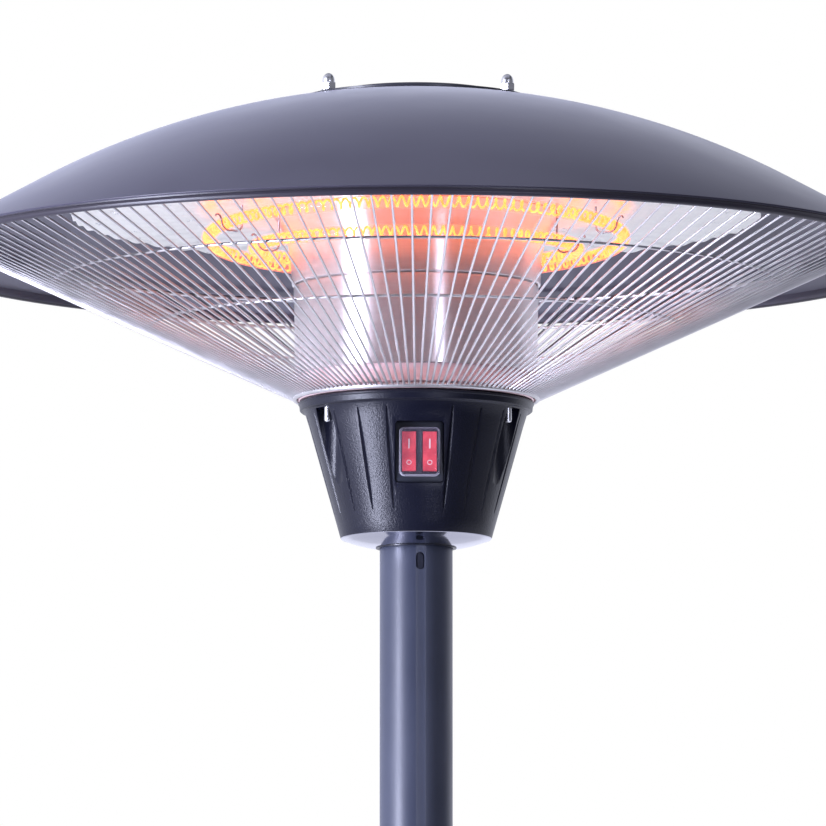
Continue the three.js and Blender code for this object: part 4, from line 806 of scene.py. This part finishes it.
def make_drum():
    rise = REFLECTOR_HUB_Z - GAP - FLARE_START_Z
    flare = []
    for i in range(17):
        share = i / 16
        radius = UPPER_DRUM_RADIUS + (FLARE_TOP_RADIUS - UPPER_DRUM_RADIUS) * share**2.2
        flare.append((radius, FLARE_START_Z + rise * share))
    lip = [
        (UPPER_DRUM_RADIUS - 2.0, DRUM_SEAM_Z + 0.1),
        (UPPER_DRUM_RADIUS - 1.1, DRUM_SEAM_Z),
        (UPPER_DRUM_RADIUS - 0.6, DRUM_SEAM_Z + 0.5),
        (UPPER_DRUM_RADIUS - 0.5, DRUM_SEAM_Z + 1.4),
    ]
    inside = [(radius - DRUM_SHEET, z) for radius, z in flare[::-1]]
    piece("flared_drum", lathe(lip + flare + inside, 192), DRUM_METAL_PAINTED_GLOW, HEAD, ["upper_drum"])
    neck = UPPER_DRUM_RADIUS - 1.6
    low = LOWER_DRUM_BOTTOM_Z
    shoulder = DRUM_SEAM_Z - 0.5
    wall = [
        (LOWER_DRUM_RADIUS, low),
        (LOWER_DRUM_RADIUS + 0.2, low / 2),
        (LOWER_DRUM_RADIUS + 0.7, shoulder - 2),
        (LOWER_DRUM_RADIUS + 0.5, shoulder - 0.6),
        (LOWER_DRUM_RADIUS - 0.2, shoulder),
        (neck - 1.5, shoulder),
        (neck - 1.5, DRUM_SEAM_Z + 5),
        (neck - 1.5 - DRUM_SHEET, DRUM_SEAM_Z + 5),
        (LOWER_DRUM_RADIUS - DRUM_SHEET, low),
    ]
    piece("straight_drum", lathe(wall, 192), DRUM_METAL_PAINTED_GLOW, HEAD, ["lower_drum"])
    rim = low - GAP
    pan = [
        (PAN_HOLE_RADIUS, PAN_BOTTOM_Z),
        (69.6, PAN_BOTTOM_Z),
        (70.2, PAN_BOTTOM_Z + 0.6),
        (70.2, -80.4),
        (71.6, -79.8),
        (73.4, -79.4),
        (74.0, -79.0),
        (73.8, -78.2),
        (72.3, -72.6),
        (LOWER_DRUM_RADIUS - 1.2, rim),
        (LOWER_DRUM_RADIUS - 2.2, rim),
        (69.2, PAN_BOTTOM_Z + 1),
        (PAN_HOLE_RADIUS, PAN_BOTTOM_Z + 1),
    ]
    piece("pan", lathe(pan, 192), PAN_METAL_PAINTED_GLOW, HEAD, ["drum_pan"])


# ---------------------------------------------------------------- grille

GRILLE_SLOPE = (GRILLE_HEAD[1] - GRILLE_FOOT[1]) / (GRILLE_HEAD[0] - GRILLE_FOOT[0])


def grille_height(radius):
    return GRILLE_FOOT[1] + (radius - GRILLE_FOOT[0]) * GRILLE_SLOPE


def make_grille():
    bars = []
    for i in range(GRILLE_BARS):
        azimuth = 360 * i / GRILLE_BARS
        foot = polar(GRILLE_FOOT[0] - 0.6, azimuth, GRILLE_FOOT[1])
        head = polar(GRILLE_HEAD[0], azimuth, GRILLE_HEAD[1])
        bars.append(wire([foot, head], BAR_RADIUS, 10))
    bars.append(hoop(GRILLE_FOOT[0] - 0.8, GRILLE_FOOT[1], FOOT_RING_WIRE_RADIUS))
    bars.append(hoop(GRILLE_HEAD[0] + 1.0, GRILLE_HEAD[1], HEAD_RING_WIRE_RADIUS, 360))
    piece("grille_wires", merged(bars), WIRE_METAL, HEAD, ["grille_cone"])
    # The hoops lie on the inner side of the bars.
    tilt = math.atan(GRILLE_SLOPE)
    offset = BAR_RADIUS + HOOP_WIRE_RADIUS
    for name, radius in (("grille_hoop_lower", LOWER_HOOP_RADIUS), ("grille_hoop_upper", UPPER_HOOP_RADIUS)):
        height = grille_height(radius) + offset * math.cos(tilt)
        part = hoop(radius - offset * math.sin(tilt), height, HOOP_WIRE_RADIUS, 300)
        piece(f"{name}_fine", part, WIRE_METAL, HEAD, [name])


# ---------------------------------------------------------------- lamps


def leaning(lamp, point):
    """A point on a level lamp at the rim's height, carried to the lamp's height and lean."""
    return Matrix.Rotation(-math.radians(lamp["lean"]), 4, "X") @ point + Vector((0, 0, lamp["z"]))


def make_lamp(label, lamp):
    radius = lamp["radius"]
    reach = 180 - LAMP_GAP_ANGLE
    path = [leaning(lamp, polar(radius, -reach + 2 * reach * i / 160)) for i in range(161)]
    tube = wire(path, TUBE_RADIUS, 16)
    open_ended = (tube[0], tube[1][:-2])
    piece(f"{label}_tube", open_ended, QUARTZ, HEAD, [f"{label}_quartz_tube"])
    turns = round(math.radians(2 * reach) * radius / COIL_PITCH)
    steps = 12
    end = reach - COIL_END_ANGLE
    coil = []
    for i in range(turns * steps + 1):
        azimuth = -end + 2 * end * i / (turns * steps)
        phase = 2 * math.pi * i / steps
        point = polar(radius + COIL_RADIUS * math.cos(phase), azimuth, COIL_RADIUS * math.sin(phase))
        coil.append(leaning(lamp, point))
    piece(f"{label}_coil", wire(coil, COIL_WIRE_RADIUS, 6), GLOWING_WIRE, HEAD, [f"{label}_heating_coil"])
    for side, azimuth in (("right", lamp["clips"]), ("left", -lamp["clips"])):
        piece(f"{label}_wire_{side}", lamp_clip(lamp, azimuth), CLIP_METAL, HEAD, [f"{label}_clip_{side}"])


def lamp_clip(lamp, azimuth):
    """A bent spring wire under the tube: one leg goes up to the reflector, the other ends in a curl."""
    bend = TUBE_RADIUS + 0.4 + CLIP_WIRE_RADIUS
    slope = math.sin(math.radians(lamp["lean"]))
    middle = lamp["z"] + lamp["radius"] * math.cos(math.radians(azimuth)) * slope
    top = REFLECTOR_HUB_Z - 1.2 - middle
    leg = CLIP_LEG
    outline = [(-leg, top), (-leg, 1), (-leg, -1.5), (-leg * 0.94, -3.2), (-leg * 0.78, -4.6)]
    outline.append((-leg * 0.5, -5.4))
    cradle = [math.radians(15 * i) for i in range(-1, 7)]
    outline += [(bend * math.sin(a), -bend * math.cos(a)) for a in cradle]
    outline += [(bend + 0.4, 1.6), (bend + 1.2, 3.3), (bend + 2.4, 4.2), (bend + 3.6, 4.0), (bend + 4.2, 3.0)]
    points = [polar(lamp["radius"] + out, azimuth, middle + up) for out, up in outline]
    return wire(points, CLIP_WIRE_RADIUS, 10)


# ---------------------------------------------------------------- collar and switch


def collar_radius(z):
    share = (z - COLLAR_LIP_Z) / (COLLAR_BOTTOM_Z - COLLAR_LIP_Z)
    return COLLAR_TOP_RADIUS + (COLLAR_BOTTOM_RADIUS - COLLAR_TOP_RADIUS) * share


def groove_cutter():
    """A V groove down the taper that narrows to nothing at both ends."""
    verts, faces = [], []
    levels = 12
    for i in range(levels + 1):
        share = i / levels
        z = GROOVE_BOTTOM_Z + (GROOVE_TOP_Z - GROOVE_BOTTOM_Z) * share
        fullness = math.sin(math.pi * min(max(share, 0.02), 0.98)) ** 0.35
        half, depth = 1.3 * fullness, 1.3 * fullness
        radius = collar_radius(z)
        spread = half * (depth + 1.5) / depth
        section = ((-spread, radius + 1.5), (spread, radius + 1.5), (0, radius - depth))
        verts += [Vector((x, -out, z)) for x, out in section]
    for i in range(levels):
        for k in range(3):
            m = (k + 1) % 3
            faces.append([3 * i + k, 3 * i + m, 3 * i + 3 + m, 3 * i + 3 + k])
    faces += [[0, 1, 2], [3 * levels, 3 * levels + 2, 3 * levels + 1]]
    return verts, faces


def pocket_cutter():
    """A round channel about the rod, which runs out where the wall tapers in past it."""
    low, high = COLLAR_BOTTOM_Z, COLLAR_LIP_Z - 0.9
    section = [(0, low), (POCKET_RADIUS, low), (POCKET_RADIUS, high), (0, high)]
    return moved(lathe(section, 64, False), (0, -ROD_CIRCLE, 0))


def switch_matrix():
    return Matrix.Translation((0, SWITCH_Y, SWITCH_Z)) @ Matrix.Rotation(SWITCH_LEAN, 4, "X")


def make_collar():
    hole = MAST_RADIUS + 0.6
    lip = COLLAR_LIP_RADIUS
    profile = [
        (50, COLLAR_TOP_Z),
        (lip - 2.2, COLLAR_TOP_Z),
        (lip - 0.9, COLLAR_TOP_Z - 0.4),
        (lip - 0.2, COLLAR_TOP_Z - 1.1),
        (lip, COLLAR_TOP_Z - 2.0),
        (lip - 0.5, COLLAR_TOP_Z - 2.5),
        (lip - 0.6, COLLAR_TOP_Z - 3.0),
        (lip - 0.9, COLLAR_LIP_Z + 0.7),
        (lip - 1.6, COLLAR_LIP_Z + 0.1),
        (COLLAR_TOP_RADIUS + 0.7, COLLAR_LIP_Z - 0.1),
        (COLLAR_TOP_RADIUS, COLLAR_LIP_Z - 0.9),
    ]
    levels = 10
    for i in range(1, levels + 1):
        z = COLLAR_LIP_Z - 0.9 + (COLLAR_BOTTOM_Z - COLLAR_LIP_Z + 0.9) * i / levels
        profile.append((collar_radius(z), z))
    underside = [
        (COLLAR_BOTTOM_RADIUS - 0.3, COLLAR_BOTTOM_Z - 0.4),
        (43.4, -166.0),
        (40, -167.4),
        (36, -168.6),
        (31, -169.8),
        (27, -170.5),
        (hole + 1.6, COLLAR_BELLY_Z + 0.1),
        (hole + 0.3, COLLAR_BELLY_Z + 0.1),
        (hole, COLLAR_BELLY_Z + 0.6),
    ]
    inside = [(hole + 1.0, -166.4), (37, -166.4), (49, -118)]
    profile += underside + inside
    fit = 0.6
    width, height = SWITCH_SIZE
    recess = prism(rounded(width + fit, height + fit, 2.2), -40, 3.3)
    well = prism(rounded(26, 29.6, 1), -30, 30)
    turns = [a + side * offset for a in ROD_AZIMUTHS for offset in GROOVE_OFFSETS for side in (-1, 1)]
    cutters = [moved(groove_cutter(), azimuth=turn) for turn in turns]
    cutters += [moved(pocket_cutter(), azimuth=a) for a in ROD_AZIMUTHS]
    cutters += [moved(each, matrix=switch_matrix()) for each in (recess, well)]
    housing = carved(lathe(profile, 240), cutters, bevel=0.3)
    made = piece("collar", housing, COLLAR_PLASTIC, HEAD, ["collar_housing"], sharp=28)
    made.data.materials.append(BELLY_METAL)
    # The underside is smooth and bright, and the wall above it is grained.
    floor = (RIM + COLLAR_BOTTOM_Z - 0.1) * MM
    for polygon in made.data.polygons:
        if polygon.center.z < floor and polygon.normal.z < 0:
            polygon.material_index = 1
    # A thin black ring round the pole hole: painted shade where the underside meets the pole.
    ring = [(hole - 0.4, -171.4), (24.0, -171.4), (24.1, -171.0), (24.0, -170.7), (hole - 0.4, -170.7)]
    throat = piece("collar_throat_painted_shade", lathe(ring, 96), BLACK_PLASTIC, HEAD, [])


def make_switch():
    width, height = SWITCH_SIZE
    stance = switch_matrix()
    face = prism(rounded(width, height, 1.8), 0, 3)
    window = prism(rounded(ROCKER_SIZE[0] + 0.8, WINDOW_HEIGHT, 0.8), -5, 8)
    windows = [moved(window, (side * ROCKER_SPACING / 2, 0, 0)) for side in (-1, 1)]
    plate = carved(face, windows, base=0, bevel=0.3)
    body = prism(rounded(25.4, 29, 1), 8.3, 16)
    plate = moved(merged([plate, body]), matrix=stance)
    piece("switch_plate", plate, SWITCH_PLASTIC, HEAD, ["switch_frame"])

    wide, tall = COVER_SIZE
    outer = prism(rounded(wide, tall, 3.2), -COVER_DEPTH, -0.3)
    inner = prism(rounded(wide - 2 * COVER_WALL, tall - 2 * COVER_WALL, 2.4), -COVER_DEPTH + COVER_WALL, 1)
    cover = moved(carved(outer, [inner], base=0, bevel=0.35), matrix=stance)
    made = piece("splash_cover", cover, COVER_RIM, HEAD, ["switch_cover"])
    made.data.materials.append(CLEAR_PLASTIC)
    # The front of the cover is clearer than its rim.
    for polygon in made.data.polygons:
        if abs(polygon.normal.y) > 0.9:
            polygon.material_index = 1

    half = ROCKER_SIZE[1] / 2
    side_outline = [(-2.3, half), (-1.9, half * 0.6), (-1.35, half * 0.25), (-1.2, 0)]
    side_outline += [(y, -z) for y, z in side_outline[2::-1]]
    side_outline += [(1, -half), (3.4, -5), (3.4, 5), (1, half)]
    count = len(side_outline)
    for label, sign, body_name in (("left", -1, "rocker_l"), ("right", 1, "rocker_r")):
        verts = [Vector((end * ROCKER_SIZE[0] / 2, y, z)) for end in (-1, 1) for y, z in side_outline]
        faces = [list(range(count)), list(range(count, 2 * count))[::-1]]
        faces += [[i, (i + 1) % count, (i + 1) % count + count, i + count] for i in range(count)]
        stroke = prism(rounded(0.9, 5.8, 0.4, 4), -0.06, 0.3)
        stroke = moved(stroke, (0, -1.62, 4.6), matrix=Matrix.Rotation(0.11, 4, "X"))
        circle = hoop(1.3, 0, 0.3, 40, 8)
        circle = moved(circle, (0, -1.66, -6.6), matrix=Matrix.Rotation(math.radians(83), 4, "X"))
        turn = Matrix.Translation((sign * ROCKER_SPACING / 2, 0, 0)) @ Matrix.Rotation(-ROCKER_ANGLE, 4, "X")
        shift = stance @ turn
        marks = [(moved(merged([stroke, circle]), matrix=shift), MARKS)]
        red = moved((verts, faces), matrix=shift)
        piece(f"rocker_{label}_lit", red, LIT_ROCKER, body_name, [f"rocker_{label}"], sharp=25, extras=marks)


# ---------------------------------------------------------------- poles


def make_upper_pole():
    low, high = (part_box("upper_pole")[k][2] / MM - RIM for k in (0, 1))
    bore = MAST_RADIUS - 1.5
    tube = lathe([(bore, low), (MAST_RADIUS, low), (MAST_RADIUS, high), (bore, high)], 128)
    width, height = MAST_SLOT_SIZE
    slot = prism(rounded(width, height, width / 2 - 0.01, 10), -MAST_RADIUS - 4, -MAST_RADIUS + 3)
    slot = moved(slot, (0, 0, MAST_SLOT_Z), MAST_SLOT_AZIMUTH)
    piece("mast_tube", carved(tube, [slot], bevel=0.25), POLE_PAINT, HEAD, ["upper_pole"])


# ---------------------------------------------------------------- stand


def softened(outline, reach):
    """An open outline with the corners between its ends made round."""
    steps = 5
    done = [outline[0]]
    for before, corner, after in zip(outline, outline[1:], outline[2:]):
        before, corner, after = Vector(before), Vector(corner), Vector(after)
        start = corner + (before - corner) * min(0.45, reach / (before - corner).length)
        end = corner + (after - corner) * min(0.45, reach / (after - corner).length)
        for i in range(steps + 1):
            t = i / steps
            done.append(tuple(start * (1 - t) ** 2 + corner * (2 * t * (1 - t)) + end * t**2))
    return done + [outline[-1]]


def make_column():
    bore = COLUMN_RADIUS - 1.6
    tube = [(bore, COLUMN_BOTTOM), (COLUMN_RADIUS, COLUMN_BOTTOM), (COLUMN_RADIUS, COLUMN_TOP - 0.4)]
    tube += [(COLUMN_RADIUS - 0.4, COLUMN_TOP), (bore, COLUMN_TOP)]
    piece("column", lathe(tube, 128), POLE_PAINT, STAND, ["lower_pole"], base=0)
    gland = [(3.6, 25.7), (9, 25.7), (9, 30.5), (8.2, 31), (8.2, 32), (9, 32.5), (9, 37.7)]
    gland += [(6.3, 45.7), (3.6, 45.7)]
    turn = Matrix.Rotation(math.radians(-90), 4, "X")
    part = moved(lathe(gland, 48), (0, 0, GLAND_HEIGHT), matrix=turn)
    piece("gland", part, BLACK_PLASTIC, STAND, ["cable_gland"], base=0)


def make_base():
    hole = COLUMN_RADIUS + 0.6
    edge = BASE_RADIUS
    outer = [(edge - 0.4, 6), (edge, 6.6), (edge, 18), (edge - 8, 24.1), (150, 35.6), (70, 46.6)]
    outer += [(33, BASE_HUB_TOP), (hole, BASE_HUB_TOP)]
    inner = [(hole, 72.5), (31.5, 72.5), (68, 43.6), (150, 34.1), (236, 22.6), (edge - 2, 16)]
    inner += [(edge - 1.5, 6)]
    cover = lathe(softened(outer, 3.5) + inner, 192)
    piece("base", cover, POLE_PAINT, STAND, ["base_cover"], base=0, sharp=40)
    low, high, wide = WEIGHT_BOTTOM, WEIGHT_TOP, WEIGHT_RADIUS
    weight = [(14, low), (wide - 1.2, low), (wide, low + 1.2)]
    weight += [(wide, high - 1.2), (wide - 1.2, high), (14, high)]
    piece("weight", lathe(weight, 160), IRON, STAND, ["base_weight"], base=0)
    foot = [(0, 0)] + softened([(12, 0), (18, 0), (18, 5)], 2) + [(18, 8), (0, 8)]
    for i in range(1, 5):
        part = moved(lathe(foot, 64, False), polar(FOOT_CIRCLE, 90 * i - 45))
        piece(f"foot_{i}", part, RUBBER, STAND, [f"base_foot_{i}"], base=0)


def make_clamp():
    """The clamp collar with its boss, and the lobed knob."""
    low, high = CLAMP_BOTTOM, CLAMP_TOP
    wide, narrow = COLUMN_RADIUS + 0.3, MAST_RADIUS + 0.6
    outer = [(wide, low), (CLAMP_RADIUS, low), (CLAMP_RADIUS, high), (narrow, high)]
    step = COLUMN_TOP + 3.6
    body = lathe(softened(outer, 3.6) + [(narrow, step), (wide, step)], 128)
    turn = Matrix.Rotation(math.radians(90), 4, "Y")
    hole = STUD_HOLE_RADIUS
    stud_hole = lathe([(0, 18), (hole, 18), (hole, 60), (0, 60)], 64, False)
    body = carved(body, [moved(stud_hole, (0, 0, KNOB_HEIGHT), matrix=turn)], base=0)
    boss = lathe([(hole, 27), (BOSS_RADIUS, 27), (BOSS_RADIUS, 41), (BOSS_RADIUS - 1, 42), (hole, 42)], 64)
    boss = moved(boss, (0, 0, KNOB_HEIGHT), matrix=turn)
    piece("clamp", merged([body, boss]), BLACK_PLASTIC, STAND, ["clamp_collar"], base=0)

    count = 144
    sections = [(0.93, 0), (0.98, 0.5), (1.0, 1.8), (1.0, 12.4), (0.97, 14.4), (0.9, 15.6)]
    sections += [(0.7, 16), (0.6, 15.4), (0.5, 15.2)]
    verts, faces = [], []
    for share, depth in sections:
        for i in range(count):
            angle = 2 * math.pi * i / count
            lobes = 0.12 * (1 - math.cos(KNOB_LOBES * angle)) * min(1, 4 * (share - 0.5))
            radius = KNOB_RADIUS * share * (1 - lobes)
            y, z = radius * math.cos(angle), KNOB_HEIGHT + radius * math.sin(angle)
            verts.append(Vector((KNOB_SEAT + depth, y, z)))
    for level in range(len(sections) - 1):
        for i in range(count):
            a, b = level * count + i, level * count + (i + 1) % count
            faces.append([a, b, b + count, a + count])
    faces.append(list(range(count)))
    faces.append(list(range((len(sections) - 1) * count, len(sections) * count))[::-1])
    stud = [(0, 22), (STUD_RADIUS - 0.4, 22), (STUD_RADIUS, 22.5), (STUD_RADIUS, 43), (0, 43)]
    stud = lathe(stud, 32, False)
    stud = moved(stud, (0, 0, KNOB_HEIGHT), matrix=turn)
    piece("knob", (verts, faces), BLACK_PLASTIC, "knob", ["clamp_knob"], base=0, extras=[(stud, ZINC)])


def make_holders():
    """Ceramic blocks between the ends of each lamp, on short stems."""
    for label, lamp in LAMPS.items():
        radius = lamp["radius"]
        length = (2 * radius - HOLDER_DEPTH) * math.tan(math.radians(LAMP_GAP_ANGLE)) - 0.6
        middle = lamp["z"] - radius * math.sin(math.radians(lamp["lean"]))
        low = middle + 5
        top = REFLECTOR_HUB_Z - 1.3
        half = HOLDER_DEPTH / 2
        block = prism(rounded(length, HOLDER_HEIGHT, 1.6), radius - half, radius + half)
        block = moved(block, (0, 0, middle))
        width, depth = HOLDER_STEM_SIZE
        stem = prism(rounded(width, top - low, 0.8), radius - depth / 2, radius + depth / 2)
        stem = moved(stem, (0, 0, (top + low) / 2))
        piece(f"{label}_ceramic", merged([block, stem]), CERAMIC, HEAD, [f"{label}_lamp_holder"])


make_shade()
make_cap()
make_fixings()
make_reflector()
make_drum()
make_grille()
for lamp_label, lamp_sizes in LAMPS.items():
    make_lamp(lamp_label, lamp_sizes)
make_collar()
make_switch()
make_upper_pole()
make_column()
make_base()
make_clamp()
make_holders()

# ---------------------------------------------------------------- solids that keep their shape

KEPT = {
    "pole_socket": ZINC,
    "guide_bush": BLACK_PLASTIC,
    "terminal_block": CERAMIC,
    "tilt_switch": BLACK_PLASTIC,
    "head_spigot": SPIGOT_METAL,
    "pole_plug": BLACK_PLASTIC,
}
KEPT |= {f"socket_bolt_{i}": ZINC for i in range(1, 5)}
for node_name, node_material in KEPT.items():
    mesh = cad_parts[node_name].data
    mesh.materials.clear()
    mesh.materials.append(node_material)
